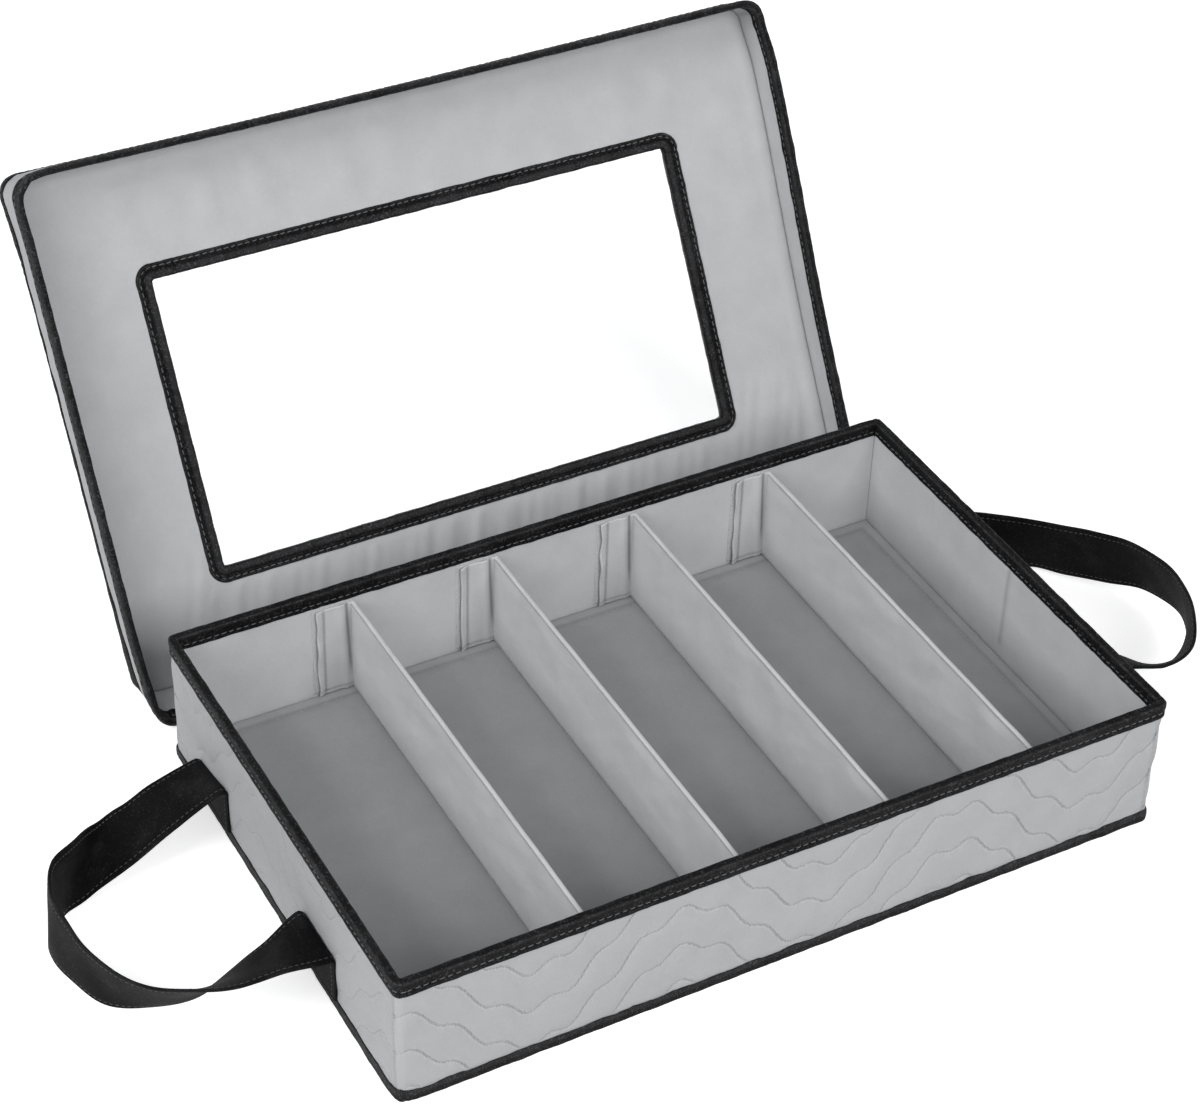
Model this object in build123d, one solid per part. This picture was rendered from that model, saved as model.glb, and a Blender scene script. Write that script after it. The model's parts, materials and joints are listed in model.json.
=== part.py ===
from build123d import *
import math
import os

# Flatware storage case: a soft-sided tray of fabric over board, five compartments,
# two webbing handles and a lift-off lid with a clear window. Millimetres.
# X runs along the front, Y to the back and Z up. The origin is on the table, under the middle.

# Case, measured over the tape on its rim
width = 430.0
depth = 273.0
height = 80.0
corner_radius = 5.0

# Layers of the walls, from the outside in
tape_thick = 0.6
cover_thick = 1.2
board_thick = 1.6
lining_thick = 0.4
crease_gap = 1.6

# Tape round the rim and round the bottom edge
rim_drop = 8.5
bottom_rise = 6.8
bottom_flange = 7.0

# Bottom
bottom_board_thick = 2.4
pad_thick = 8.0
pad_side_gap = 0.3
pad_edge_round = 2.0

# Dividers, with their places measured from the middle of the case
divider_places = (-113.0, -29.0, 56.0, 141.0)
divider_board_thick = 1.6
divider_skin = 0.4
divider_below_rim = 10.0
divider_lift_gap = 0.3
tab_width = 20.0
tab_thick = 0.8
tab_gap = 0.3
grip_thick = 0.7
grip_extra = 4.0
grip_end_gap = 1.0

# Webbing handles
strap_width = 38.0
strap_thick = 1.8
strap_reach = 107.0
strap_rear = 80.0
strap_front = -50.0
strap_fold_height = 35.0
strap_hinge_gap = 0.3
strap_sag = 3.6
strap_tilt = 10.0

# Lid, measured over its tapes, and how it stands behind the case
lid_gap = 3.4
lid_depth = 28.4
lid_rest_gap = 0.4
lid_forward = 0.8
skirt_cover_thick = 1.2
skirt_lining_thick = 1.2
lid_cover_thick = 1.0
lid_board_thick = 2.0
lid_lining_thick = 0.4
lid_tape_drop = 8.5
seam_tape_reach = 7.0
lid_open_angle = 121.0
lid_stand_gap = 21.7
lid_foot_gap = 0.3

# Window in the lid
window_length = 311.0
window_breadth = 159.0
window_radius = 5.0
window_to_rear = 57.5
window_off_side = 1.5
window_tape_width = 8.0
film_thick = 0.4
film_margin = 9.0

# Depth of each layer below the outer face of the rim's tape
cover_face = tape_thick
board_face = cover_face + cover_thick
lining_face = board_face + board_thick
inner_face = lining_face + lining_thick
rim_inner_face = inner_face + tape_thick

# Heights of the layers of the bottom
wall_foot = tape_thick + cover_thick
bottom_board_top = wall_foot + bottom_board_thick
floor_top = bottom_board_top + pad_thick
wall_top = height - tape_thick
rim_low = height - rim_drop

# Lid layers outward from the case, and heights when it is closed
skirt_thick = skirt_cover_thick + skirt_lining_thick
lid_tape_inner = lid_gap
skirt_inner = lid_tape_inner + tape_thick
skirt_outer = skirt_inner + skirt_thick
lid_outer = skirt_outer + tape_thick
panel_low = height + lid_rest_gap
lining_top = panel_low + lid_lining_thick
lid_board_top = lining_top + lid_board_thick
lid_cover_top = lid_board_top + lid_cover_thick
lid_top = lid_cover_top + tape_thick
lid_low = lid_top - lid_depth
tiny_radius = 0.5


def block(length, breadth, radius, low, high):
    """A centred upright block with rounded corners, from low to high."""
    outline = RectangleRounded(length, breadth, max(radius, tiny_radius))
    return extrude(Pos(0, 0, low) * outline, amount=high - low)


def case_block(inset, low, high):
    """A block whose sides lie at this depth below the case's outer faces."""
    return block(width - 2 * inset, depth - 2 * inset, corner_radius - inset, low, high)


def case_ring(outer_inset, inner_inset, low, high):
    """An upright ring round the case between two depths."""
    return case_block(outer_inset, low, high) - case_block(inner_inset, low, high)


def lid_block(outset, low, high):
    """A block of the closed lid, whose sides stand this far outside the case."""
    return block(width + 2 * outset, depth + 2 * outset, corner_radius + outset, low, high)


def lid_ring(inner_outset, outer_outset, low, high):
    """An upright ring of the closed lid between two distances from the case."""
    return lid_block(outer_outset, low, high) - lid_block(inner_outset, low, high)


def box_between(x0, x1, y0, y1, z0, z1):
    """A plain box between two corners."""
    centre = Pos((x0 + x1) / 2, (y0 + y1) / 2, (z0 + z1) / 2)
    return centre * Box(x1 - x0, y1 - y0, z1 - z0)


def four_sides(ring, half_length, half_breadth, low, high):
    """Splits a ring where its straight sides meet the corners: the long sides keep them."""
    far = width + depth
    return {
        "front": ring & box_between(-far, far, -far, -half_breadth, low, high),
        "back": ring & box_between(-far, far, half_breadth, far, low, high),
        "left": ring & box_between(-far, -half_length, -half_breadth, half_breadth, low, high),
        "right": ring & box_between(half_length, far, -half_breadth, half_breadth, low, high),
    }


def wall_layer(outer_inset, inner_inset, low, high):
    """One layer of the case's walls as four panels."""
    ring = case_ring(outer_inset, inner_inset, low, high)
    return four_sides(ring, width / 2 - corner_radius, depth / 2 - corner_radius, low, high)


def wall_boards():
    """Stiff boards in the walls. Each end wall has two, with a crease between them."""
    x_end = width / 2 - corner_radius
    y_end = depth / 2 - corner_radius
    x_out = width / 2 - board_face
    y_out = depth / 2 - board_face
    x_in = width / 2 - lining_face
    y_in = depth / 2 - lining_face
    half_gap = crease_gap / 2
    boards = {
        "front_board": box_between(-x_end, x_end, -y_out, -y_in, wall_foot, wall_top),
        "back_board": box_between(-x_end, x_end, y_in, y_out, wall_foot, wall_top),
    }
    for side, x0, x1 in (("left", -x_out, -x_in), ("right", x_in, x_out)):
        boards[side + "_board_front"] = box_between(x0, x1, -y_end, -half_gap, wall_foot, wall_top)
        boards[side + "_board_rear"] = box_between(x0, x1, half_gap, y_end, wall_foot, wall_top)
    return boards


def rim_tape():
    """Tape folded over the top edge of the walls."""
    outside = case_ring(0, rim_inner_face, rim_low, height)
    return outside - case_ring(cover_face, inner_face, rim_low, wall_top)


def bottom_tape():
    """Tape folded round the bottom edge: up the walls and in under the bottom."""
    upstand = case_ring(0, cover_face, 0, bottom_rise)
    flange = case_ring(0, bottom_flange, 0, tape_thick)
    return upstand + flange


def bottom_cover():
    """Fabric under the case, level with the tape that holds its edge."""
    edge = case_block(cover_face, tape_thick, wall_foot)
    middle = case_block(bottom_flange, 0, tape_thick)
    return edge + middle


def floor_pad():
    """Padded mat on the floor, with a soft upper edge."""
    pad = case_block(inner_face + pad_side_gap, bottom_board_top, floor_top)
    return fillet(pad.faces().sort_by(Axis.Z)[-1].edges(), pad_edge_round)


def strap_folds(side):
    """Height and tilt of the two folds of one handle; the left one's rear fold has slipped down."""
    fold = strap_fold_height - strap_thick / 2
    if side < 0:
        return (fold - strap_sag, -strap_tilt), (fold, 0)
    return (fold, 0), (fold, 0)


def strap_tails(side):
    """The sewn ends of one handle, flat on the end wall from the bottom tape to the fold."""
    wall = side * (width / 2 - cover_face)
    half = strap_width / 2
    tails = []
    for place, (fold, tilt) in zip((strap_rear, strap_front), strap_folds(side)):
        top = fold + strap_thick / 2
        rise = half * math.tan(math.radians(tilt))
        corners = [
            Vector(wall, place - half, bottom_rise),
            Vector(wall, place + half, bottom_rise),
            Vector(wall, place + half, top + rise),
            Vector(wall, place - half, top - rise),
        ]
        tails.append(extrude(Face(Wire.make_polygon(corners)), strap_thick, dir=(side, 0, 0)))
    return Compound(children=tails)


def strap_stations(side):
    """Hand-set stations along a handle: reach from the wall, place along it, height, lean, swing.

    Reach is in percent of the handle's own, place in percent of the way from its rear end
    to its front end, and height in percent of the webbing's width.
    The lean turns the webbing about its run: 0 lies flat with its outer edge to the back,
    90 stands on edge, and 180 lies flat the other way up, as it is at the second fold.
    The swing turns that edge out from the wall.
    """
    if side < 0:
        shares = [
            (25.0, 1.4, 63.7, -5, 4),
            (44.3, 3.4, 42.4, 2, -4),
            (63.6, 7.1, 29.9, 26, -21),
            (79.9, 16.3, 43.1, 63, -20),
            (93.5, 28.0, 59.8, 77, -5),
            (101.6, 42.8, 66.2, 90, -7),
            (100.0, 59.9, 60.8, 96, -3),
            (92.5, 76.1, 51.2, 99, 4),
            (78.6, 87.8, 48.2, 112, 15),
            (60.5, 95.7, 52.3, 125, 20),
            (41.9, 99.2, 64.3, 145, 14),
            (22.8, 100.0, 79.3, 158, 7),
        ]
    else:
        shares = [
            (21.5, 0.4, 57.5, 46, 17),
            (39.6, 5.3, 50.0, 77, 5),
            (56.4, 13.5, 55.8, 92, -9),
            (68.6, 26.1, 60.5, 87, -10),
            (78.8, 39.8, 71.1, 83, -14),
            (86.6, 54.2, 85.3, 83, -19),
            (89.4, 70.1, 94.9, 84, -19),
            (88.0, 86.4, 98.2, 89, -16),
            (80.1, 100.8, 90.9, 101, -12),
            (66.8, 110.3, 76.8, 123, -5),
            (50.4, 109.9, 74.5, 141, -14),
            (30.9, 102.2, 84.3, 154, -19),
        ]
    start = strap_thick + strap_hinge_gap
    way = strap_front - strap_rear
    rear_fold, front_fold = strap_folds(side)
    stations = [(start, strap_rear, rear_fold[0], rear_fold[1], 0)]
    for reach, place, rise, lean, swing in shares:
        y = strap_rear + way * place / 100
        stations.append((strap_reach * reach / 100, y, strap_width * rise / 100, lean, swing))
    stations.append((start, strap_front, front_fold[0], 180 + front_fold[1], 0))
    return stations


def strap_loop(side):
    """The free loop of one handle: flat webbing that turns over once on its way round."""
    stations = strap_stations(side)
    wall = width / 2 - cover_face
    centres = []
    edges = []
    for reach, y, z, lean, swing in stations:
        centres.append(Vector(side * (wall + reach), y, z))
        flat = math.cos(math.radians(swing))
        out = side * math.sin(math.radians(swing))
        turned = math.radians(lean)
        edges.append(Vector(out, flat * math.cos(turned), flat * math.sin(turned)))
    sections = []
    for i, centre in enumerate(centres):
        across = edges[i]
        ahead = centres[min(i + 1, len(centres) - 1)] - centres[max(i - 1, 0)]
        if i == 0:
            ahead = Vector(side, 0, 0)
        if i == len(centres) - 1:
            ahead = Vector(-side, 0, 0)
        face_way = (ahead * side).cross(across).normalized()
        side_way = across * (strap_width / 2)
        thick_way = face_way * (strap_thick / 2)
        corners = [
            centre + side_way + thick_way,
            centre - side_way + thick_way,
            centre - side_way - thick_way,
            centre + side_way - thick_way,
        ]
        sections.append(Face(Wire.make_polygon(corners)))
    return loft(sections, ruled=True)


def divider_size():
    """Half length to the tabs' outer faces, and the low and high edges of a divider."""
    half = depth / 2 - inner_face - grip_thick - tab_gap
    return half, floor_top + divider_lift_gap, height - divider_below_rim


def divider_cover(place):
    """Fabric sleeve of one divider, open below, with a tab at each end turned to the left."""
    half, low, high = divider_size()
    side = divider_board_thick / 2 + divider_skin
    end = half - divider_skin
    sleeve = box_between(place - side, place + side, -half, half, low, high)
    left = place - side - tab_width
    back_tab = box_between(left, place - side, half - tab_thick, half, low, high)
    front_tab = box_between(left, place - side, -half, -half + tab_thick, low, high)
    core = divider_board_thick / 2
    pocket = box_between(place - core, place + core, -end, end, low, high - divider_skin)
    return sleeve + back_tab + front_tab - pocket


def divider_board(place):
    """Stiff board inside a divider's sleeve."""
    half, low, high = divider_size()
    core = divider_board_thick / 2
    end = half - divider_skin
    return box_between(place - core, place + core, -end, end, low, high - divider_skin)


def grip_strips(way):
    """Strips on the front or back lining that the dividers' tabs press on."""
    side = divider_board_thick / 2 + divider_skin
    lining = depth / 2 - inner_face
    y0, y1 = sorted((way * lining, way * (lining - grip_thick)))
    low = floor_top + grip_end_gap
    high = rim_low - grip_end_gap
    strips = []
    for place in divider_places:
        left = place - side - tab_width - grip_extra
        strips.append(box_between(left, place + side, y0, y1, low, high))
    return Compound(children=strips)


def lid_hinge():
    """Where the open and the closed lid turn into each other: one axis along X, as (y, z).

    The rear lower edge of the closed lid and of the lid on its foot, and the turn between
    them, give the point that stays still.
    """
    turn = math.radians(lid_open_angle)
    lean = turn - math.pi / 2
    closed = (depth / 2 + lid_outer - lid_forward, lid_low)
    opened = (depth / 2 + lid_stand_gap, lid_foot_gap + lid_depth * math.sin(lean))
    step = (closed[0] - opened[0], closed[1] - opened[1])
    share = 0.5 / math.tan(turn / 2)
    y = (closed[0] + opened[0]) / 2 - step[1] * share
    z = (closed[1] + opened[1]) / 2 + step[0] * share
    return y, z


def open_lid(solid):
    """Seats a piece of the lid on the case, then turns it to where the lid stands."""
    y, z = lid_hinge()
    turn = Pos(0, y, z) * Rot(-lid_open_angle, 0, 0) * Pos(0, -y, -z)
    return turn * Pos(0, -lid_forward, 0) * solid


def window_block(margin, low, high):
    """A block the size of the window plus a margin."""
    middle = depth / 2 + lid_outer - window_to_rear - window_breadth / 2
    solid = block(
        window_length + 2 * margin, window_breadth + 2 * margin, window_radius + margin, low, high
    )
    return Pos(window_off_side, middle, 0) * solid


def lid_panel_pieces():
    """The lid's panel in layers, each a frame round the window, and the window's film."""
    film_low = lid_board_top - film_thick
    inner_tape_low = panel_low - tape_thick
    cover = lid_block(skirt_outer, lid_board_top, lid_cover_top)
    board = lid_block(skirt_inner, lining_top, lid_board_top)
    lining = lid_block(skirt_inner, panel_low, lining_top)
    margin = film_margin
    inner_tape = window_block(window_tape_width, inner_tape_low, panel_low)
    inner_tape += window_block(tape_thick, panel_low, film_low)
    outer_tape = window_block(window_tape_width, lid_cover_top, lid_top)
    outer_tape += window_block(tape_thick, lid_board_top, lid_cover_top)
    return {
        "lid_cover": cover - window_block(tape_thick, lid_board_top, lid_cover_top),
        "lid_board": board - window_block(margin, lining_top, lid_board_top),
        "lid_lining": lining - window_block(tape_thick, panel_low, lining_top),
        "lid_window": window_block(margin, film_low, lid_board_top),
        "window_tape_inner": inner_tape - window_block(0, inner_tape_low, film_low),
        "window_tape_outer": outer_tape - window_block(0, lid_board_top, lid_top),
    }


def lid_skirt_pieces():
    """The lid's skirt in two layers of four strips, and the tapes on its two edges."""
    half_length = width / 2 - corner_radius
    half_breadth = depth / 2 - corner_radius
    foot = lid_low + tape_thick
    mid = skirt_inner + skirt_lining_thick
    pieces = {}
    layers = (("lid_skirt_lining_", skirt_inner, mid), ("lid_skirt_cover_", mid, skirt_outer))
    for name, inner, outer in layers:
        top = panel_low if inner == skirt_inner else lid_board_top
        ring = lid_ring(inner, outer, foot, top)
        for side, strip in four_sides(ring, half_length, half_breadth, foot, top).items():
            pieces[name + side] = strip
    edge = lid_ring(lid_tape_inner, lid_outer, lid_low, lid_low + lid_tape_drop)
    pieces["lid_edge_tape"] = edge - lid_ring(skirt_inner, skirt_outer, foot, lid_low + lid_tape_drop)
    seam = lid_ring(skirt_outer, lid_outer, lid_top - seam_tape_reach, lid_top)
    seam += lid_ring(skirt_outer - seam_tape_reach, lid_outer, lid_cover_top, lid_top)
    pieces["lid_seam_tape"] = seam
    return pieces


def case_pieces():
    """Everything that stays with the case."""
    pieces = {
        "bottom_cover": bottom_cover(),
        "bottom_board": case_block(lining_face, wall_foot, bottom_board_top),
        "bottom_tape": bottom_tape(),
        "floor_pad": floor_pad(),
        "rim_tape": rim_tape(),
        "grip_strips_back": grip_strips(1),
        "grip_strips_front": grip_strips(-1),
        "left_strap_tails": strap_tails(-1),
        "right_strap_tails": strap_tails(1),
    }
    for side, panel in wall_layer(cover_face, board_face, wall_foot, wall_top).items():
        pieces[side + "_cover"] = panel
    for side, panel in wall_layer(lining_face, inner_face, bottom_board_top, wall_top).items():
        pieces[side + "_lining"] = panel
    pieces.update(wall_boards())
    return pieces


def build():
    """All pieces by name."""
    pieces = case_pieces()
    pieces["left_strap"] = strap_loop(-1)
    pieces["right_strap"] = strap_loop(1)
    for number, place in enumerate(divider_places, start=1):
        pieces[f"divider_{number}_cover"] = divider_cover(place)
        pieces[f"divider_{number}_board"] = divider_board(place)
    for name, solid in {**lid_panel_pieces(), **lid_skirt_pieces()}.items():
        pieces[name] = open_lid(solid)
    return pieces


os.makedirs("parts", exist_ok=True)
all_pieces = build()
for name, solid in all_pieces.items():
    export_step(solid, f"parts/{name}.step")
hinge_y, hinge_z = lid_hinge()
print(f"{len(all_pieces)} pieces; lid axis at y {hinge_y:.3f} z {hinge_z:.3f}")
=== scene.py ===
import json
import math
import bpy
import numpy as np
from mathutils import Matrix, Vector

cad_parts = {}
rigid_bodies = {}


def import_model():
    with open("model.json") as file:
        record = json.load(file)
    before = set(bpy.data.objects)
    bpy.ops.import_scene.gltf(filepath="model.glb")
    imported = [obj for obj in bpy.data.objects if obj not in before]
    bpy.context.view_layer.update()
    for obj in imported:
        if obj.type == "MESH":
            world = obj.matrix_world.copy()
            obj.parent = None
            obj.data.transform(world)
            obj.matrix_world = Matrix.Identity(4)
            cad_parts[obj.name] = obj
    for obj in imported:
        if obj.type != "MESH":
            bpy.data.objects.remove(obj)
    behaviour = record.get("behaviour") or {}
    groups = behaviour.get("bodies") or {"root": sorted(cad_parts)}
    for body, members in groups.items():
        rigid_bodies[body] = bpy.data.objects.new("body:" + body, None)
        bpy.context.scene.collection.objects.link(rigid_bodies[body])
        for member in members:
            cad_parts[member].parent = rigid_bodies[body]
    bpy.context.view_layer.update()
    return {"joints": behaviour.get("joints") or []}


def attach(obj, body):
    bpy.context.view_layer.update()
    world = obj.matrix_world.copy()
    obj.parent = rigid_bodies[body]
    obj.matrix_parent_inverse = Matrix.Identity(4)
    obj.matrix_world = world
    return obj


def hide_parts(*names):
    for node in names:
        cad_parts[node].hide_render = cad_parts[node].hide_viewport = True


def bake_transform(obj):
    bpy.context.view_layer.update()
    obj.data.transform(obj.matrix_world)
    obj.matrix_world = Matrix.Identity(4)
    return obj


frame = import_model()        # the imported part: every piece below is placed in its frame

turn = 2 * math.pi
quarter = math.pi / 2
metre = 0.001            # shapes are worked out in millimetres and go into their meshes in metres
clothUnit = 100.0        # millimetres of cloth in one unit of a piece's UV map
white = (1.0, 1.0, 1.0, 1.0)
scene = bpy.context.scene

case = {"length": 430.0, "depth": 273.0, "cornerRadius": 5.0, "coverFace": 0.6, "boardFace": 1.8,
        "liningFace": 3.4, "innerFace": 3.8, "wallFoot": 1.8, "boardTop": 4.2, "wallTop": 79.4}
halfX, halfY, corner = case["length"] / 2, case["depth"] / 2, case["cornerRadius"]


cameraUser = {"place": (-0.60474, -0.99569, 1.08095), "yaw": 29.568, "pitch": 38.495, "roll": 1.984,
              "lens": 90.89, "sensor": 36.0, "clip": (0.02, 60.0)}


def makeCamera(user):
    # The view direction comes from yaw and pitch, and roll turns the picture about it.
    yaw, pitch, roll = (math.radians(user[k]) for k in ("yaw", "pitch", "roll"))
    ahead = Vector((math.sin(yaw) * math.cos(pitch), math.cos(yaw) * math.cos(pitch), -math.sin(pitch)))
    level = Vector((math.cos(yaw), -math.sin(yaw), 0.0))
    rise = level.cross(ahead)
    right = math.cos(roll) * level + math.sin(roll) * rise
    up = -math.sin(roll) * level + math.cos(roll) * rise
    data = bpy.data.cameras.new("viewCamera")
    data.lens, data.sensor_width = user["lens"], user["sensor"]
    data.clip_start, data.clip_end = user["clip"]
    camera = bpy.data.objects.new("viewCamera", data)
    scene.collection.objects.link(camera)
    turned = Matrix((right, up, -ahead)).transposed().to_4x4()
    camera.matrix_world = Matrix.Translation(user["place"]) @ turned
    bpy.context.scene.camera = camera


makeCamera(cameraUser)
scene.view_settings.view_transform = "Standard"
print("camera set")


class Wire:
    # A socket that takes part in sums: every operation adds its own Math node.
    def __init__(self, paint, socket):
        self.paint = paint
        self.socket = socket

    def sum(self, operation, *others):
        # this value and the others, taken through one kind of sum
        return self.paint.maths(operation, self, *others)

    def __add__(self, other):
        return self.sum("ADD", other)

    def __sub__(self, other):
        return self.sum("SUBTRACT", other)

    def __rsub__(self, other):
        return self.paint.maths("SUBTRACT", other, self)

    def __mul__(self, other):
        return self.sum("MULTIPLY", other)

    __radd__, __rmul__ = __add__, __mul__

    def sine(self):
        return self.sum("SINE")

    def size(self):
        return self.sum("ABSOLUTE")

    def capped(self):
        # held within 0 to 1
        return self.sum("MAXIMUM", 0.0).sum("MINIMUM", 1.0)

    def between(self, low, high):
        # 0 below low, 1 above high, and a soft step between them
        settings = {"interpolation_type": "SMOOTHSTEP"}
        return self.paint.node("ShaderNodeMapRange", settings, {0: self, 1: low, 2: high, 3: 0.0, 4: 1.0})


class Paint:
    # One material, or the world: node() makes any node, with its settings first and then its sockets.
    def __init__(self, name, owner=None):
        self.material = owner or bpy.data.materials.new(name)
        self.material.use_nodes = True
        self.tree = self.material.node_tree
        self.tree.nodes.clear()

    def node(self, kind, settings=None, inputs=None, output=0):
        made = self.tree.nodes.new(kind)
        for key, value in (settings or {}).items():
            setattr(made, key, value)
        for key, value in (inputs or {}).items():
            if isinstance(value, Wire):
                self.tree.links.new(value.socket, made.inputs[key])
            else:
                made.inputs[key].default_value = value
        return Wire(self, made.outputs[output]) if len(made.outputs) else None

    def maths(self, operation, *values):
        # one Math node on values or links
        return self.node("ShaderNodeMath", {"operation": operation}, dict(enumerate(values)))

    def cloth(self):
        # the piece's own measure along its surface, in millimetres
        flat = self.node("ShaderNodeUVMap", {"uv_map": "cloth"})
        outputs = self.node("ShaderNodeSeparateXYZ", None, {0: flat}).socket.node.outputs
        return [Wire(self, outputs[k]) * clothUnit for k in (0, 1)]

    def place(self):
        # Object coordinates in millimetres
        there = self.node("ShaderNodeTexCoord", None, None, 3)
        return self.node("ShaderNodeVectorMath", {"operation": "SCALE"}, {0: there, 3: 1 / metre})

    def point(self, x, y, z=0.0):
        # three numbers as a vector, or as the parts of a colour
        return self.node("ShaderNodeCombineXYZ", None, {0: x, 1: y, 2: z})

    def noise(self, vector, scale, detail=2.0, rough=0.5):
        # soft noise of 0 to 1 in space
        inputs = {"Vector": vector, "Scale": scale, "Detail": detail, "Roughness": rough}
        return self.node("ShaderNodeTexNoise", {"noise_dimensions": "3D"}, inputs)

    def grain(self, x, y, layer, scale, detail=2.0, rough=0.5):
        # noise over the cloth, about 0; each layer has a pattern of its own
        return self.noise(self.point(x, y, layer), scale, detail, rough) - 0.5

    def mark(self, name):
        # a number stored on the mesh's points
        return self.node("ShaderNodeAttribute", {"attribute_name": name}, None, 2)

    def blendColour(self, factor, first, second):
        # the first colour at factor 0, the second at 1
        settings = {"data_type": "RGBA", "blend_type": "MIX"}
        return self.node("ShaderNodeMix", settings, {0: factor, 6: first, 7: second}, 2)

    def finish(self, colour, rough, height, deep, constants):
        # The shader takes its fixed numbers on its own sockets; height, in 0 to 1, is deep millimetres.
        relief = {"Height": height, "Strength": 1.0, "Distance": deep * metre}
        bump = self.node("ShaderNodeBump", None, relief)
        inputs = {"Base Color": colour, "Roughness": rough, "Normal": bump}
        shader = self.node("ShaderNodeBsdfPrincipled", None, {**inputs, **constants})
        self.node("ShaderNodeOutputMaterial", None, {"Surface": shader})
        return self.material


def rgb(value):
    # an sRGB grey or colour of 0 to 255 as the linear colour a socket takes
    parts = value if isinstance(value, tuple) else (value, value, value)
    linear = [((c / 255 + 0.055) / 1.055) ** 2.4 if c > 10 else c / 255 / 12.92 for c in parts]
    return (*linear, 1.0)


lightUser = {"sky": 0.23, "skyTint": (0.97, 0.985, 1.0, 1.0), "aim": (0.0, 0.0, 0.05),
             "lamps": {"frontHigh": {"place": (0.3, -2.6, 2.0), "size": 1.6, "power": 58.0},
                       "frontLeft": {"place": (-1.9, -2.0, 1.8), "size": 1.6, "power": 15.0},
                       "leftSide": {"place": (-2.7, -0.3, 2.1), "size": 1.8, "power": 62.0},
                       "topSoft": {"place": (-0.4, -0.3, 3.0), "size": 1.8, "power": 7.0}},
             "floorSize": 7.0, "floorTone": 236, "floorLift": 0.6}


def seenDirectly(paint):
    # 1 for rays that come straight from the camera, or by a mirror or through film
    outputs = paint.node("ShaderNodeLightPath").socket.node.outputs
    seen = Wire(paint, outputs["Is Camera Ray"])
    for name in ("Is Glossy Ray", "Is Transmission Ray"):
        seen = seen.sum("MAXIMUM", Wire(paint, outputs[name]))
    return seen


def makeLight(user):
    # Soft sky and four large soft lamps, at a level where colours look as they are written.
    world = bpy.data.worlds.new("paleRoom")
    sky = Paint("paleRoom", world)
    soft = sky.node("ShaderNodeBackground", None, {"Color": user["skyTint"], "Strength": user["sky"]})
    plain = sky.node("ShaderNodeBackground", None, {"Color": white, "Strength": 1.0})
    both = sky.node("ShaderNodeMixShader", None, {0: seenDirectly(sky), 1: soft, 2: plain})
    sky.node("ShaderNodeOutputWorld", None, {"Surface": both})
    scene.world = world
    for name, lamp in user["lamps"].items():
        data = bpy.data.lights.new(name, "AREA")
        data.shape = "SQUARE"
        data.size = lamp["size"]
        data.energy = lamp["power"]
        made = bpy.data.objects.new(name, data)
        made.location = lamp["place"]
        aim = Vector(user["aim"]) - Vector(lamp["place"])
        made.rotation_euler = aim.to_track_quat("-Z", "Y").to_euler()
        scene.collection.objects.link(made)


def makeFloor(user):
    # A flat pale floor: lifted towards white where the camera sees it, with the shadow kept.
    half = user["floorSize"] / 2
    corners = [(-half, -half, 0), (half, -half, 0), (half, half, 0), (-half, half, 0)]
    mesh = bpy.data.meshes.new("paleFloor")
    mesh.from_pydata(corners, [], [(0, 1, 2, 3)])
    floor = bpy.data.objects.new("paleFloor", mesh)
    scene.collection.objects.link(floor)
    paint = Paint("paleFloor")
    plain = paint.node("ShaderNodeBsdfDiffuse", None, {"Color": rgb(user["floorTone"])})
    glow = paint.node("ShaderNodeEmission", None, {"Color": white, "Strength": user["floorLift"]})
    lit = paint.node("ShaderNodeAddShader", None, {0: plain, 1: glow})
    both = paint.node("ShaderNodeMixShader", None, {0: seenDirectly(paint), 1: plain, 2: lit})
    paint.node("ShaderNodeOutputMaterial", None, {"Surface": both})
    mesh.materials.append(paint.material)


makeLight(lightUser)
makeFloor(lightUser)
print("light and floor made")


def roundedLoop(halfWide, halfDeep, radius, step, turnSteps, centre=(0.0, 0.0)):
    # A rectangle with rounded corners, walked counter-clockwise from the front left corner: straight
    # run, quarter turn, and so on. Gives points, outward directions and the way walked.
    points, outs, places = [], [], []
    walked = 0.0
    for side in range(4):
        angle = (side - 1) * quarter
        out = np.array([math.cos(angle), math.sin(angle)])
        along = np.array([-out[1], out[0]])
        run, away = (halfWide - radius, halfDeep) if side % 2 == 0 else (halfDeep - radius, halfWide)
        count = max(2, int(round(2 * run / step)))
        share = np.arange(count) / count
        points.append(out * away + along * (-run + 2 * run * share)[:, None])
        outs.append(np.repeat(out[None], count, 0))
        places.append(walked + 2 * run * share)
        walked += 2 * run
        bend = np.arange(turnSteps) / turnSteps
        facing = angle + quarter * bend
        ray = np.stack([np.cos(facing), np.sin(facing)], 1)
        points.append(out * (away - radius) + along * run + ray * radius)
        outs.append(ray)
        places.append(walked + radius * quarter * bend)
        walked += radius * quarter
    return {"point": np.concatenate(points) + np.array(centre), "out": np.concatenate(outs),
            "place": np.concatenate(places), "total": walked}


def cornerPlaces(halfWide, halfDeep, radius):
    # the way walked to the middle of each of the four corners
    bend = radius * quarter
    runs = [2 * (halfWide - radius), 2 * (halfDeep - radius)] * 2
    return np.cumsum([run + bend for run in runs]) - bend / 2


def ringPoints(loop, offset, height):
    # A surface round the loop: offset moves along the outward direction and height is z.
    offset, height = np.broadcast_arrays(offset, height)
    flat = loop["point"][:, None, :] + loop["out"][:, None, :] * offset[..., None]
    return np.concatenate([flat, height[..., None]], -1)


def walkedAlong(points):
    # the way walked to each point of a line
    return np.concatenate([[0.0], np.cumsum(np.linalg.norm(np.diff(points, axis=0), axis=1))])


def unit(vectors):
    # each vector divided by its own length
    return vectors / np.maximum(np.linalg.norm(vectors, axis=1, keepdims=True), 1e-9)


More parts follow.
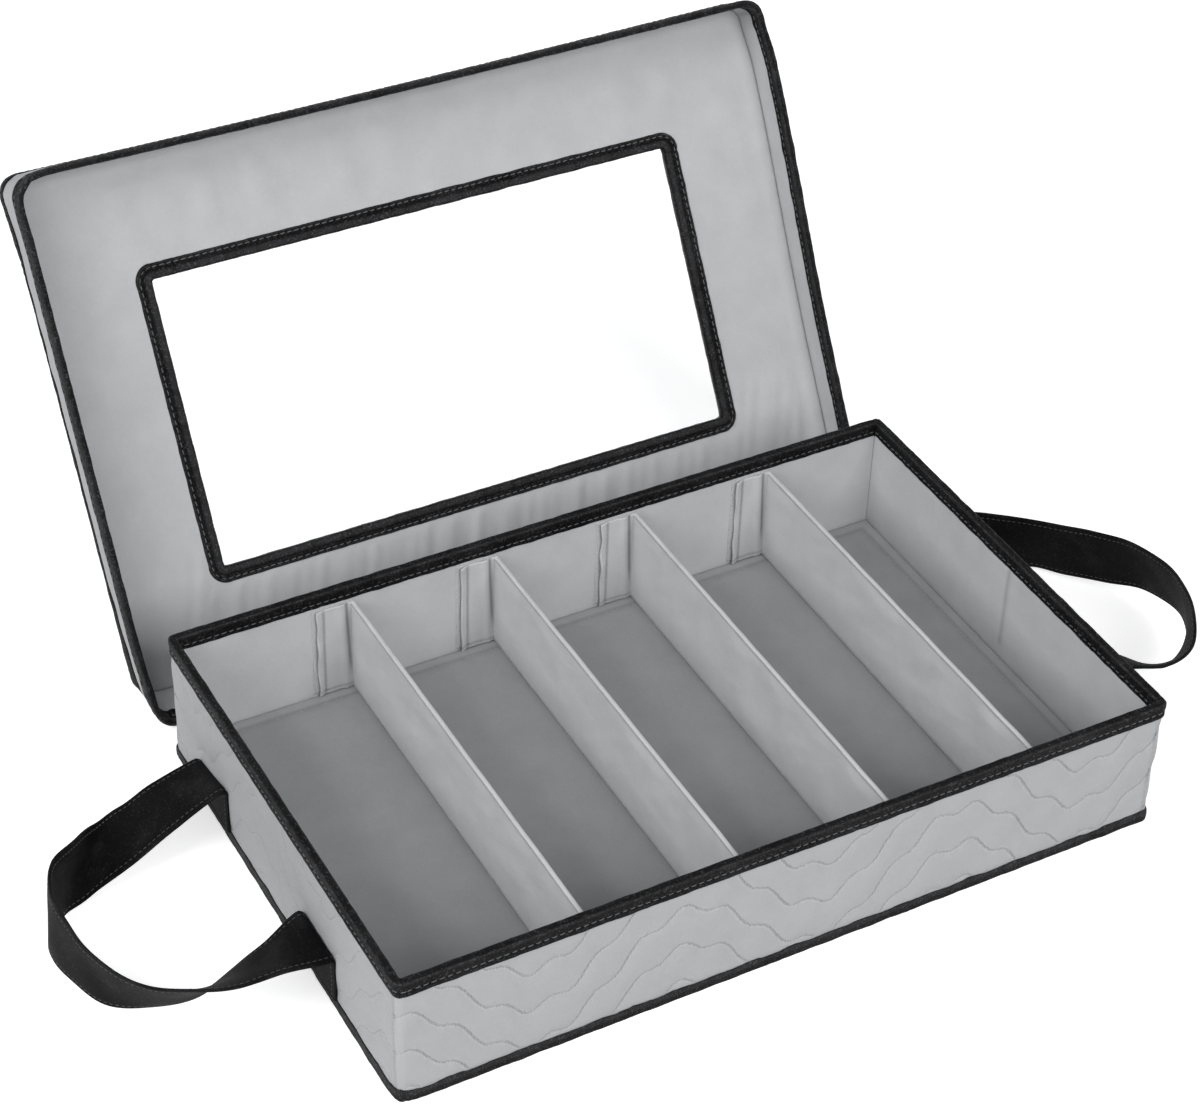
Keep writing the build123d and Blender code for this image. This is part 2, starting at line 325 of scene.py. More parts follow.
def gridCells(rows, cols, wrapRows=False, wrapCols=False):
    # The row and column of every cell of a grid, and its four corners as numbers of points.
    r, c = np.meshgrid(np.arange(rows if wrapRows else rows - 1),
                       np.arange(cols if wrapCols else cols - 1), indexing="ij")
    r, c = r.ravel(), c.ravel()
    here, after, beside = r * cols, (r + 1) % rows * cols, (c + 1) % cols
    return r, c, np.stack([here + c, after + c, after + beside, here + beside], 1)


def gridBlock(points, wrapRows, wrapCols, rowWay, colWay, capEnds=False):
    # Quads over a grid of points; rowWay and colWay are the cloth's measure in mm along each.
    rows, cols = points.shape[:2]
    r, c, quads = gridCells(rows, cols, wrapRows, wrapCols)
    rowsUp, colsUp = (np.append(way, way[-1] + (way[-1] - way[-2])) for way in (rowWay, colWay))
    corners = ((r, c), (r + 1, c), (r + 1, c + 1), (r, c + 1))
    uv = np.stack([np.stack([rowsUp[a], colsUp[b]], 1) for a, b in corners], 1)
    if capEnds:      # the first and the last row are closed by quads between their two halves
        i = np.arange(cols // 2 - 1)
        for row, flip in ((0, True), (rows - 1, False)):
            cap = np.stack([i, i + 1, cols - 2 - i, cols - 1 - i], 1) + row * cols
            capUv = np.stack([np.stack([i * 0.0, colWay[(q - row * cols)]], 1) for q in cap.T], 1)
            quads = np.concatenate([quads, cap[:, ::-1] if flip else cap])
            uv = np.concatenate([uv, capUv[:, ::-1] if flip else capUv])
    return turnedOut(points.reshape(-1, 3), quads, uv / clothUnit)


def turnedOut(points, quads, uv):
    # turns a closed block's faces outwards by the sign of its volume
    a, b, c, d = (points[quads[:, k]] for k in range(4))
    volume = (np.cross(a, b) * c).sum() + (np.cross(a, c) * d).sum()
    if volume < 0:
        quads, uv = quads[:, ::-1], uv[:, ::-1]
    return {"points": points, "quads": quads, "uv": uv}


def slabBlock(top, under, rowWay, colWay):
    # Two grids with the same border, closed by a strip round it.
    rows, cols = top.shape[:2]
    quads = gridCells(rows, cols)[2]
    border = np.concatenate([np.arange(cols), np.arange(2, rows + 1) * cols - 1,
                             (rows - 1) * cols + np.arange(cols - 2, -1, -1),
                             np.arange(rows - 2, 0, -1) * cols])
    after = np.roll(border, -1)
    side = np.stack([border, after, after + rows * cols, border + rows * cols], 1)
    quads = np.concatenate([quads, quads[:, ::-1] + rows * cols, side])
    flat = np.stack(np.meshgrid(rowWay, colWay, indexing="ij"), -1).reshape(-1, 2)
    flat = np.concatenate([flat, flat])
    points = np.concatenate([top.reshape(-1, 3), under.reshape(-1, 3)])
    return turnedOut(points, quads, flat[quads] / clothUnit)


def clothRing(loop, seen, far, height):
    # Cloth round a loop: up its seen face and down its far one, as offsets from the loop by height.
    offset = np.concatenate([seen, np.broadcast_to(far, seen.shape)[:, ::-1]], 1)
    points = ringPoints(loop, offset, np.concatenate([height, height[:, ::-1]], 1))
    rise = height[0]
    upWay = np.concatenate([rise, rise[-1] + 1 + (rise[-1] - rise[::-1])])
    return gridBlock(points, True, True, loop["place"], upWay)


def placePiece(name, blocks, material, body, marks=None, place=None):
    # Joins blocks in one mesh, in metres, and lets it ride on its body.
    blocks = blocks if isinstance(blocks, list) else [blocks]
    starts = np.cumsum([0] + [len(b["points"]) for b in blocks])
    points = np.concatenate([b["points"] for b in blocks])
    points = (place(points) if place else points) * metre
    quads = np.concatenate([b["quads"] + s for b, s in zip(blocks, starts)]).astype(np.int32)
    uv = np.concatenate([b["uv"] for b in blocks])
    mesh = bpy.data.meshes.new(name)
    mesh.vertices.add(len(points))
    mesh.vertices.foreach_set("co", points.astype(np.float32).ravel())
    mesh.loops.add(quads.size)
    mesh.loops.foreach_set("vertex_index", quads.ravel())
    mesh.polygons.add(len(quads))
    mesh.polygons.foreach_set("loop_start", np.arange(0, quads.size, 4, dtype=np.int32))
    mesh.polygons.foreach_set("use_smooth", np.ones(len(quads), dtype=bool))
    mesh.update(calc_edges=True)
    mesh.uv_layers.new(name="cloth").data.foreach_set("uv", uv.astype(np.float32).ravel())
    for key, values in (marks or {}).items():
        layer = mesh.attributes.new(key, "FLOAT", "POINT")
        layer.data.foreach_set("value", np.asarray(values, np.float32).ravel())
    mesh.materials.append(material)
    piece = bpy.data.objects.new(name, mesh)
    scene.collection.objects.link(piece)
    if body:
        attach(piece, body)
    return piece


def softStep(value, low, high):
    # 0 below low, 1 above high, smooth between
    share = np.clip((value - low) / (high - low), 0.0, 1.0)
    return share * share * (3 - 2 * share)


def band(value, low, full, ebb, high):
    # 1 from full to ebb, fading to 0 at low and high
    return softStep(value, low, full) * (1 - softStep(value, ebb, high))


def hump(value, width):
    # a bell of height 1 and this half width
    return np.exp(-(value / width) ** 2)


def humps(value, spots, width):
    # the same at several spots
    return sum(hump(value - spot, width) for spot in spots)


def near(x, y, spot):
    # a bell about a spot, given by its x, y and half width
    return hump(np.hypot(x - spot[0], y - spot[1]), spot[2])


lengthSpread = (0.6, 1.7)      # wave lengths are drawn within this share of their size


def ripples(along, up, size, seed, count=14, loop=None):
    # A soft random relief within about -1 to 1: sine waves of lengths near size, in random
    # directions. With loop, each fits the way round a whole number of times.
    draw = np.random.default_rng(seed)
    total = 0.0
    for _ in range(count):
        angle, start = draw.uniform(0, turn, 2)
        length = size * draw.uniform(*lengthSpread)
        across = math.cos(angle) / length
        if loop:
            across = round(across * loop) / loop
        total = total + np.sin(turn * (along * across + up * math.sin(angle) / length) + start)
    return total / math.sqrt(count)


def wobble(along, size, seed, loop=None, count=8):
    # the same for a line
    draw = np.random.default_rng(seed)
    total = 0.0
    for _ in range(count):
        often = 1 / (size * draw.uniform(*lengthSpread))
        if loop:
            often = max(1, round(often * loop)) / loop
        total = total + np.sin(turn * along * often + draw.uniform(0, turn))
    return total / math.sqrt(count)


# a stitch's sections: place along it, thickness and height, as shares; and how full it is
stitchShape = {"rings": [(-0.5, 0.35, -0.6), (-0.28, 0.9, 0.55), (0.28, 0.9, 0.55), (0.5, 0.35, -0.6)],
               "full": 0.6}


def stitchBlock(path, face, pitch, length, width, rise, keep=None, slope=0.0):
    # Short threads along a path of points: each a small six-sided spindle, sunk at its ends.
    # face holds the surface's outward direction at each point of the path.
    walked = walkedAlong(path)

    def along(places, rows):
        # the rows' values at these places of the walk
        return np.stack([np.interp(places, walked, rows[:, k]) for k in range(3)], 1)

    places = np.arange(pitch / 2, walked[-1], pitch)
    if keep is not None:
        places = places[np.interp(places, walked, keep.astype(float)) > 0.99]
    centre, out = along(places, path), along(places, face)
    ahead = unit(along(places + length / 2, path) - along(places - length / 2, path))
    aside = unit(np.cross(out, ahead))
    ahead = ahead + aside * slope
    out = unit(np.cross(ahead, aside))
    angle = np.arange(6) / 6 * turn
    full = rise * stitchShape["full"]
    shape = np.concatenate([np.stack([np.full(6, run * length), np.cos(angle) * width / 2 * fat,
                                      np.sin(angle) * full * fat + high * full], 1)
                            for run, fat, high in stitchShape["rings"]])
    points = centre[:, None, :] + np.einsum("pk,skj->spj", shape, np.stack([ahead, aside, out], 1))
    quads = [(ring + k, ring + (k + 1) % 6, ring + 6 + (k + 1) % 6, ring + 6 + k)
             for ring in (0, 6, 12) for k in range(6)]
    quads = np.array(quads + [(0, 3, 2, 1), (0, 5, 4, 3), (18, 19, 20, 21), (18, 21, 22, 23)])
    every = (quads[None] + np.arange(len(centre))[:, None, None] * 24).reshape(-1, 4)
    uv = np.tile(shape[:, :2][quads], (len(centre), 1, 1)) / clothUnit
    return turnedOut(points.reshape(-1, 3), every, uv)


def straightStitches(start, end, face, *thread):
    # stitches from start to end on a flat face; thread holds their pitch, length, width and rise
    return stitchBlock(np.array([start, end], float), np.array([face, face], float), *thread)


def ringStitches(loop, offset, height, face, pitch=4.1, length=3.0, rise=0.4, width=0.6):
    # one line of stitches round a loop at a fixed offset and height, a little aslant
    closed = {key: np.concatenate([loop[key], loop[key][:1]]) for key in ("point", "out")}
    path = ringPoints(closed, np.full((len(closed["point"]), 1), offset), height)[:, 0]
    out = np.concatenate([closed["out"] * face[0], np.full((len(path), 1), face[1])], 1)
    return stitchBlock(path, out, pitch, length, width, rise, slope=0.08)


caseCorners = cornerPlaces(halfX, halfY, corner)
quilt = {"pitch": 25.0, "waves": 9, "height": 26.5, "base": 8.0, "start": 1.93, "steps": 59,
         "stepHeight": 2.8, "stepStart": 0.6, "puff": 0.62, "puffWidth": 4.0, "puckerWidth": 3.0,
         "pucker": 0.16, "crumple": 0.24, "low": 7.4, "high": 71.0, "thread": (3.1, 2.2, 0.6, 0.42)}
clothLooks = {
    "outerCloth": {"tone": (167, 168, 170), "thread": 0.62, "depth": 0.08, "melange": 0.09,
                   "cloud": 0.13, "press": 0.12},
    "liningCloth": {"tone": (180, 181, 183), "thread": 0.55, "depth": 0.06, "melange": 0.07,
                    "cloud": 0.20, "press": 0.34},
    # the case's lining and the dividers: the lid's lining cloth set lighter, painted light against the shade
    # inside the case
    "trayCloth": {"tone": (190, 191, 193), "thread": 0.55, "depth": 0.06, "melange": 0.07,
                  "cloud": 0.22, "press": 0.36},
    # the mat's cloth is set darker than the lining's: painted shadow
    "padCloth": {"tone": (154, 155, 156), "thread": 0.55, "depth": 0.08, "melange": 0.08,
                 "cloud": 0.20, "press": 0.36}}
weaveUser = {"slubLong": 0.25, "slubFine": 3.0, "cloudScale": 0.045, "fleckTone": 0.13, "weaveTone": 0.10,
             "rough": 0.86,
             "fixed": {"Sheen Weight": 0.25, "Sheen Roughness": 0.45, "Specular IOR Level": 0.25}}
# the quilted line: its painted shade and painted highlight, what it takes from the height, and the pitch of
# its dashes
lineUser = {"dashPitch": 1.65, "dashShadeTone": 0.19, "tone": 0.03, "steepShadeTone": 0.25, "strayTone": 0.3,
            "paintedHighlightTone": 0.12, "nearHighlightTone": 0.02, "stray": 0.05, "jog": 0.006, "depth": 0.40, "nearDepth": 0.12,
            "gather": 0.75}


def makeCloth(name, look, quilted=False):
    # Plain weave: the product of two sine waves stands for threads over and under each other, with a
    # soft uneven tone on top, finer along the threads. Marked places are darker: painted shade in creases,
    # seams and grooves, and a painted shadow on the mat.
    paint = Paint(name)
    x, y = paint.cloth()
    often = turn / look["thread"] / 2
    weave = (x * often).sine() * (y * often).sine() * 0.5 + 0.5
    long, fine = weaveUser["slubLong"], weaveUser["slubFine"]
    slub = paint.grain(x * long, y * fine, 0.0, 1.0)
    slubs = slub + paint.grain(x * fine, y * long, 7.0, 1.0)
    cloud = paint.grain(x, y, 3.0, weaveUser["cloudScale"], 3.0, 0.6)
    fleck = paint.grain(x * 0.7, y, 5.0, 0.9, 2.0, 0.7)
    shade = 1.0 + slubs * look["melange"] + cloud * look["cloud"] + fleck * weaveUser["fleckTone"]
    # the pressed-line mark darkens the cloth: painted shade in creases, seams and grooves, painted shadow on
    # the mat
    shade = shade - paint.mark("press") * look["press"] + (weave - 0.5) * weaveUser["weaveTone"]
    height = (weave * 0.6 + slubs * 0.8 + fleck * 1.4) * look["depth"]
    if quilted:
        # above is the distance in mm to the nearest quilted line, which steps a little at each stitch. The
        # groove gets painted shade, darker between stitches and on steep runs; a band just below it, and the
        # cloth near it, get a painted highlight.
        line = lineUser
        stray = paint.grain(x, y * 0.2, 9.0, 0.33)
        jog = (x * (turn / quilt["thread"][0])).sine() * line["jog"]
        rows = paint.mark("rows") + stray * line["stray"] + jog
        above = ((rows + 0.5).sum("FRACT") - 0.5) * paint.mark("lean") * quilt["pitch"]
        on = paint.mark("quilted")
        dash = (x * (turn / line["dashPitch"])).sine() * 0.5 + 0.5
        groove = (1.0 - (above - 0.25).size().between(0.2, 0.75)) * on
        rim = (1.0 - (above + 0.75).size().between(0.15, 0.8)) * on
        near = (1.0 - above.size().between(0.4, 3.2)) * on
        gather = paint.grain(x, y * 0.35, 4.0, 0.42, 2.0, 0.6)
        dark = dash * line["dashShadeTone"] + line["tone"] + (1.0 - paint.mark("lean")) * line["steepShadeTone"]
        shade = shade - groove * (dark + stray * line["strayTone"]) + near * line["nearHighlightTone"]
        shade = shade + rim * (line["paintedHighlightTone"] - dash * line["paintedHighlightTone"])
        height = height - groove * line["depth"] - near * line["nearDepth"] + gather * near * line["gather"]
    tint = paint.point(*(shade * c for c in rgb(look["tone"])[:3]))
    return paint.finish(tint, weaveUser["rough"] + slub * 0.15, height + 0.5, 1.0, weaveUser["fixed"])


tapeLooks = {"edgeTape": {"tone": (9, 9, 10), "wearAndSheen": (96, 96, 98), "rib": 0.85, "depth": 0.13,
                          "rough": 0.60, "shine": 0.05, "cloud": 0.2},
             "strapWebbing": {"tone": (12, 12, 13), "wearAndSheen": (58, 58, 60), "rib": 0.7, "depth": 0.10,
                              "rough": 0.62, "shine": 0.04, "cloud": 0.9}}
# what lightens a tape, from its dark tone towards its light one: its worn ridges with their painted
# highlight, and its texture
tapeLight = {"rubbed": 0.16, "rubbedFuzz": 0.6, "rib": 0.04, "cross": 0.04, "fleck": 0.34, "fuzz": 0.2}


def makeTape(name, look):
    # Ribbed tape: narrow ribs across the length, threads over them, and lighter ridges, worn and with a
    # painted highlight.
    paint = Paint(name)
    x, y = paint.cloth()
    part = tapeLight
    rib = (x * (turn / look["rib"])).sine() * 0.5 + 0.5
    cross = (y * (turn / (look["rib"] * 0.8))).sine() * (x * (turn / look["rib"] / 2)).sine()
    fuzz = paint.grain(x * 1.5, y * 1.5, 0.0, 1.0, 3.0, 0.6)
    cloud = paint.grain(x, y, 5.0, 0.05)
    fleck = paint.grain(x * 1.4, y, 8.0, 0.8, 2.0, 0.7).between(0.05, 0.17)
    wearAndSheen = paint.mark("wearAndSheen")
    light = wearAndSheen * (part["rubbed"] + fuzz * part["rubbedFuzz"]) + rib * part["rib"] + cross * part["cross"]
    light = (light + fleck * part["fleck"] + fuzz * part["fuzz"] + cloud * look["cloud"]).capped()
    tint = paint.blendColour(light, rgb(look["tone"]), rgb(look["wearAndSheen"]))
    rough = look["rough"] + fuzz * 0.2 - wearAndSheen * 0.08
    height = rib * 0.5 + cross * 0.35 + fuzz * 0.9 + 0.5
    return paint.finish(tint, rough, height, look["depth"], {"Specular IOR Level": look["shine"]})


threadLooks = {"outerThread": {"tone": (168, 170, 171), "dark": (140, 141, 143)},
               "greyThread": {"tone": (178, 179, 181), "dark": (136, 137, 139)},
               "blackThread": {"tone": (112, 112, 114), "dark": (46, 46, 47)},
               "strapThread": {"tone": (66, 66, 68), "dark": (28, 28, 29)}}


def makeThread(name, look):
    # Twisted thread: slanting stripes along each stitch.
    paint = Paint(name)
    x, y = paint.cloth()
    twist = ((x + y * 1.2) * (turn / 0.5)).sine() * 0.5 + 0.5
    fleck = paint.noise(paint.place(), 0.4)
    tint = paint.blendColour((twist * 0.5 + fleck * 0.6).capped(), rgb(look["dark"]), rgb(look["tone"]))
    fixed = {"Sheen Weight": 0.2, "Specular IOR Level": 0.4}
    return paint.finish(tint, 0.6 + fleck * 0.1, twist, 0.06, fixed)


gripLook = {"tone": 166, "light": 196, "loops": 1.4, "depth": 0.14}
boardLook = {"dark": (148, 138, 124), "light": (176, 167, 152), "fleck": (104, 94, 82), "depth": 0.15}
filmLook = {"dull": (236, 240, 242), "clear": (248, 250, 251), "see": 0.07, "rubbed": 0.04, "gloss": 0.06,
            "depth": 1.2}


def makeGrip(look):
    # Hook-and-loop strip: a dense field of small loops.
    paint = Paint("gripLoops")
    x, y = paint.cloth()
    there = {"Vector": paint.point(x, y), "Scale": look["loops"]}
    loops = paint.node("ShaderNodeTexVoronoi", {"feature": "F1"}, there)
    fuzz = paint.noise(paint.point(x, y, 2.0), 2.2, 3.0, 0.6)
    light = (1.0 - loops * 1.1 + (fuzz - 0.5) * 0.6).capped()
    tint = paint.blendColour(light, rgb(look["tone"]), rgb(look["light"]))
    fixed = {"Sheen Weight": 0.4, "Specular IOR Level": 0.2}
    return paint.finish(tint, 0.8 + fuzz * 0.1, light + fuzz * 0.5, look["depth"], fixed)


def makeBoard(look):
    # Pressed grey board: fibres laid along the sheet, and darker flecks.
    paint = Paint("pressedBoard")
    there = paint.place()
    drawnOut = paint.node("ShaderNodeMapping", None, {0: there, 3: (0.25, 1.2, 1.2)})
    fibre = paint.noise(drawnOut, 0.9, 4.0, 0.65)
    fleck = paint.noise(there, 0.5).between(0.62, 0.74)
    tint = paint.blendColour(fibre.between(0.3, 0.7), rgb(look["dark"]), rgb(look["light"]))
    tint = paint.blendColour(fleck * 0.5, tint, rgb(look["fleck"]))
    return paint.finish(tint, 0.85 + fibre * 0.1, fibre, look["depth"], {"Specular IOR Level": 0.2})


def makeFilm(look):
    # Clear film with slow waves and faint rubbed streaks.
    paint = Paint("clearFilm")
    there = paint.place()
    wave = paint.noise(there, 0.012, 1.0, 0.4)
    haze = paint.noise(there, 0.06, 3.0, 0.6)
    see = look["see"] + haze.between(0.45, 0.8) * look["rubbed"]
    tint = paint.blendColour(haze, rgb(look["dull"]), rgb(look["clear"]))
    fixed = {"Alpha": see, "IOR": 1.45, "Specular IOR Level": 0.5}
    return paint.finish(tint, look["gloss"] + haze * 0.05, wave, look["depth"], fixed)


quiltedCloth = makeCloth("quiltedCloth", clothLooks["outerCloth"], True)
outerCloth, liningCloth, trayCloth, padCloth = (makeCloth(name, look) for name, look in clothLooks.items())
edgeTape, strapWebbing = (makeTape(name, look) for name, look in tapeLooks.items())
threads = [makeThread(name, look) for name, look in threadLooks.items()]
outerThread, greyThread, blackThread, strapThread = threads
gripLoops, pressedBoard, clearFilm = makeGrip(gripLook), makeBoard(boardLook), makeFilm(filmLook)

for node in bpy.data.objects:
    if node.type == "MESH" and ("_board" in node.name or node.name == "lid_window"):
        node.data.materials.clear()
        node.data.materials.append(clearFilm if node.name == "lid_window" else pressedBoard)
print("materials made")


def quiltHeight(place, total):
    # height of the first quilted line: one long wave and a shorter one that makes it step
    long = np.sin(turn * quilt["waves"] * place / total + quilt["start"])
    short = np.sin(turn * quilt["steps"] * place / total + quilt["stepStart"])
    return quilt["base"] + quilt["height"] * long + quilt["stepHeight"] * short


def quiltRelief(place, height, total):
    # How far the quilted cloth stands out: it falls to its lines over puffWidth, with soft crumples
    # between. Also gives the count of lines up to here and how much they lean.
    rows = (height - quiltHeight(place, total)) / quilt["pitch"]
    slope = quiltHeight(place + 0.5, total) - quiltHeight(place - 0.5, total)
    lean = 1 / np.sqrt(1 + slope ** 2)
    far = np.abs(rows - np.round(rows)) * quilt["pitch"] * lean
    puff = quilt["puff"] * (0.6 - hump(far, quilt["puffWidth"]))
    pucker = hump(far, quilt["puckerWidth"]) * wobble(place + height * 0.35, 6.0, 11, total) * quilt["pucker"]
    crumple = ripples(place, height, 34.0, 5, 16, total) * quilt["crumple"]
    return puff + pucker + crumple, rows, lean


softCorner = {"pull": 1.2, "reach": 9.0, "low": 4.0, "high": 40.0}


def softenCase(points):
    # Near the table the front left corner of the case is rounder than the others.
    x, y, z = points.T
    pull = softCorner["pull"] * near(x, y, (-halfX, -halfY, softCorner["reach"]))
    pull = pull * (1 - softStep(z, softCorner["low"], softCorner["high"]))
    return np.stack([x + pull, y + pull, z], 1)


wallUser = {"step": 1.3, "rows": 62, "seamBack": 3.4, "seamWidth": 0.7, "seamDepth": 0.45, "ridgeBack": 1.4,
            "ridgeWidth": 1.1, "ridgeHeight": 0.3, "seamTone": 1.5, "dotTone": 1.1, "faintLines": 0.65,
            "sunk": 0.25, "seamSunk": 0.5, "seamThread": (3.4, 2.5, 0.6, 0.45)}


def makeWalls(user):
    # Quilted cloth round the case: its outer face carries the relief, and its inner face is flat. At
    # each corner the seam is a groove with a ridge beside it.
    loop = roundedLoop(halfX, halfY, corner, user["step"], 8)
    place = loop["place"][:, None]
    height = np.linspace(case["wallFoot"], case["wallTop"], user["rows"])[None, :]
    relief, rows, lean = quiltRelief(place, height, loop["total"])
    low, high = quilt["low"], quilt["high"]
    inside = band(height, low - 1.2, low + 1.6, high - 1.2, high + 1.2)
    seam = humps(place, caseCorners - user["seamBack"], user["seamWidth"])
    ridge = humps(place, caseCorners - user["ridgeBack"], user["ridgeWidth"])
    relief = (relief - user["seamDepth"] * seam + user["ridgeHeight"] * ridge) * inside
    # the seam's groove is darkened with painted shade, broken by lighter dots of thread
    dots = user["seamTone"] + user["dotTone"] * np.sin(turn * height / user["seamThread"][0])
    # on the left wall the quilted lines' painted shade and painted highlight are turned down
    leftWall = softStep(place, caseCorners[2] + 6, caseCorners[2] + 14)      # the lines hardly show there
    marks = {"press": seam * inside * dots, "rows": rows, "lean": lean + 0 * rows,
             "quilted": inside * (1 - user["faintLines"] * leftWall)}
    flat = np.zeros((len(place), 2))
    marks = {key: np.concatenate([value, flat], 1) for key, value in marks.items()}
    offset = np.concatenate([relief - case["coverFace"], flat - case["boardFace"]], 1)
    heights = np.append(height, [[case["wallTop"], case["wallFoot"]]], 1)
    way = np.append(height[0], [case["wallTop"] + 2, case["wallTop"] + 80])
    block = gridBlock(ringPoints(loop, offset, heights), True, True, loop["place"], way)
    piece = placePiece("quiltedWalls", block, quiltedCloth, "case", marks, softenCase)
    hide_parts("front_cover", "back_cover", "left_cover", "right_cover")
    loop["total"] * 0.001


def makeWallStitches(user):
    # Stitches along every quilted line, where it runs clear of the tapes, and down each corner seam.
    blocks = []
    loop = roundedLoop(halfX, halfY, corner, 0.9, 8)
    place, total = loop["place"], loop["total"]
    low, high = quilt["low"], quilt["high"]
    for number in range(-2, 4):
        line = quiltHeight(place, total) + number * quilt["pitch"]
        keep = (line > low + 0.6) & (line < high - 0.6)
        if keep.any():
            sunk = quiltRelief(place, line, total)[0] - case["coverFace"] - user["sunk"]
            path = ringPoints(loop, sunk[:, None], line[:, None])[:, 0]
            face = np.append(loop["out"], np.zeros((len(line), 1)), 1)
            blocks.append(stitchBlock(path, face, *quilt["thread"], keep))
    for spot in caseCorners - user["seamBack"]:
        index = np.argmin(np.abs(place - spot))
        out = loop["out"][index]
        base = loop["point"][index] - out * (case["coverFace"] + user["seamSunk"])
        blocks.append(straightStitches((*base, low), (*base, high), (*out, 0.0), *user["seamThread"]))
    placePiece("quiltStitches", blocks, outerThread, "case", None, softenCase)


makeWalls(wallUser)
makeWallStitches(wallUser)
print("quilted walls made")


# Each tape's section: offset from the loop and height, its seen side, then the side on the cloth; which
# points of the seen side are lighter, worn and with a painted highlight on the ridges; and where its
# stitches run.
rimTape = {"outer": [(-0.10, 71.5), (0.18, 71.7), (0.26, 72.5), (0.22, 74.2), (-0.06, 74.9), (-0.12, 75.2),
                     (0.04, 75.7), (0.26, 76.3), (0.36, 77.0), (0.38, 78.2), (0.36, 79.2), (0.20, 79.85),
                     (-0.2, 80.14), (-0.7, 80.1), (-1.4, 79.86), (-2.2, 79.78), (-3.0, 79.86),
                     (-3.6, 80.08), (-4.0, 80.12), (-4.34, 79.8), (-4.48, 78.9), (-4.5, 77.2),
                     (-4.48, 75.3), (-4.3, 74.6), (-4.24, 74.3), (-4.36, 73.9), (-4.52, 73.0),
                     (-4.46, 72.0), (-4.2, 71.5)],
           "inner": [(-3.84, 71.6), (-3.84, 75.5), (-3.84, 79.3), (-2.2, 79.3), (-0.64, 79.3), (-0.64, 75.5),
                     (-0.6, 71.6)],
           "wearAndSheenAt": (11, 12, 18, 19), "stitch": (-0.06, 75.1), "stitchInside": (-4.28, 74.4)}
bottomTape = {"outer": [(-7.0, 0.6), (-7.0, 0.12), (-6.6, 0.0), (-3.5, 0.0), (-0.7, 0.0), (-0.1, 0.15),
                        (0.28, 0.8), (0.42, 2.0), (0.48, 3.6), (0.42, 5.2), (0.24, 6.3), (-0.1, 6.85),
                        (-0.5, 6.75)],
              "inner": [(-0.6, 6.2), (-0.6, 3.0), (-0.6, 0.6), (-3.5, 0.6)],
              "wearAndSheenAt": (9, 10, 11), "startWander": 0.0}
# how far a tape bulges, and how its free edges wander, over long and short lengths of it
tapeUser = {"bulge": ((17.0, 0.10), (6.0, 0.05)), "wander": ((21.0, 1.0), (8.0, 0.4)), "edgeWidth": 1.5,
            "foldWidth": 2.2, "grooveAt": 2.6, "grooveWidth": 0.8, "grooveShare": 0.8, "wearAndSheenWidth": 0.9,
            "endLag": 37}


def smoothProfile(corners, step):
    # A Catmull-Rom curve through a list of points, at about this step, and each point's place in the list.
    corners = np.asarray(corners, float)
    closedIn = np.vstack([2 * corners[0] - corners[1], corners, 2 * corners[-1] - corners[-2]])
    made, wholes = [], []
    for k in range(len(corners) - 1):
        a, b, c, d = closedIn[k:k + 4]
        count = max(1, int(math.ceil(np.linalg.norm(c - b) / step)))
        t = (np.arange(count) / count)[:, None]
        bend, twist = 2 * a - 5 * b + 4 * c - d, 3 * b - a - 3 * c + d
        made.append(0.5 * (2 * b + (c - a) * t + bend * t ** 2 + twist * t ** 3))
        wholes.append(k + t[:, 0])
    made.append(corners[-1:])
    wholes.append([len(corners) - 1.0])
    return np.concatenate(made), np.concatenate(wholes)


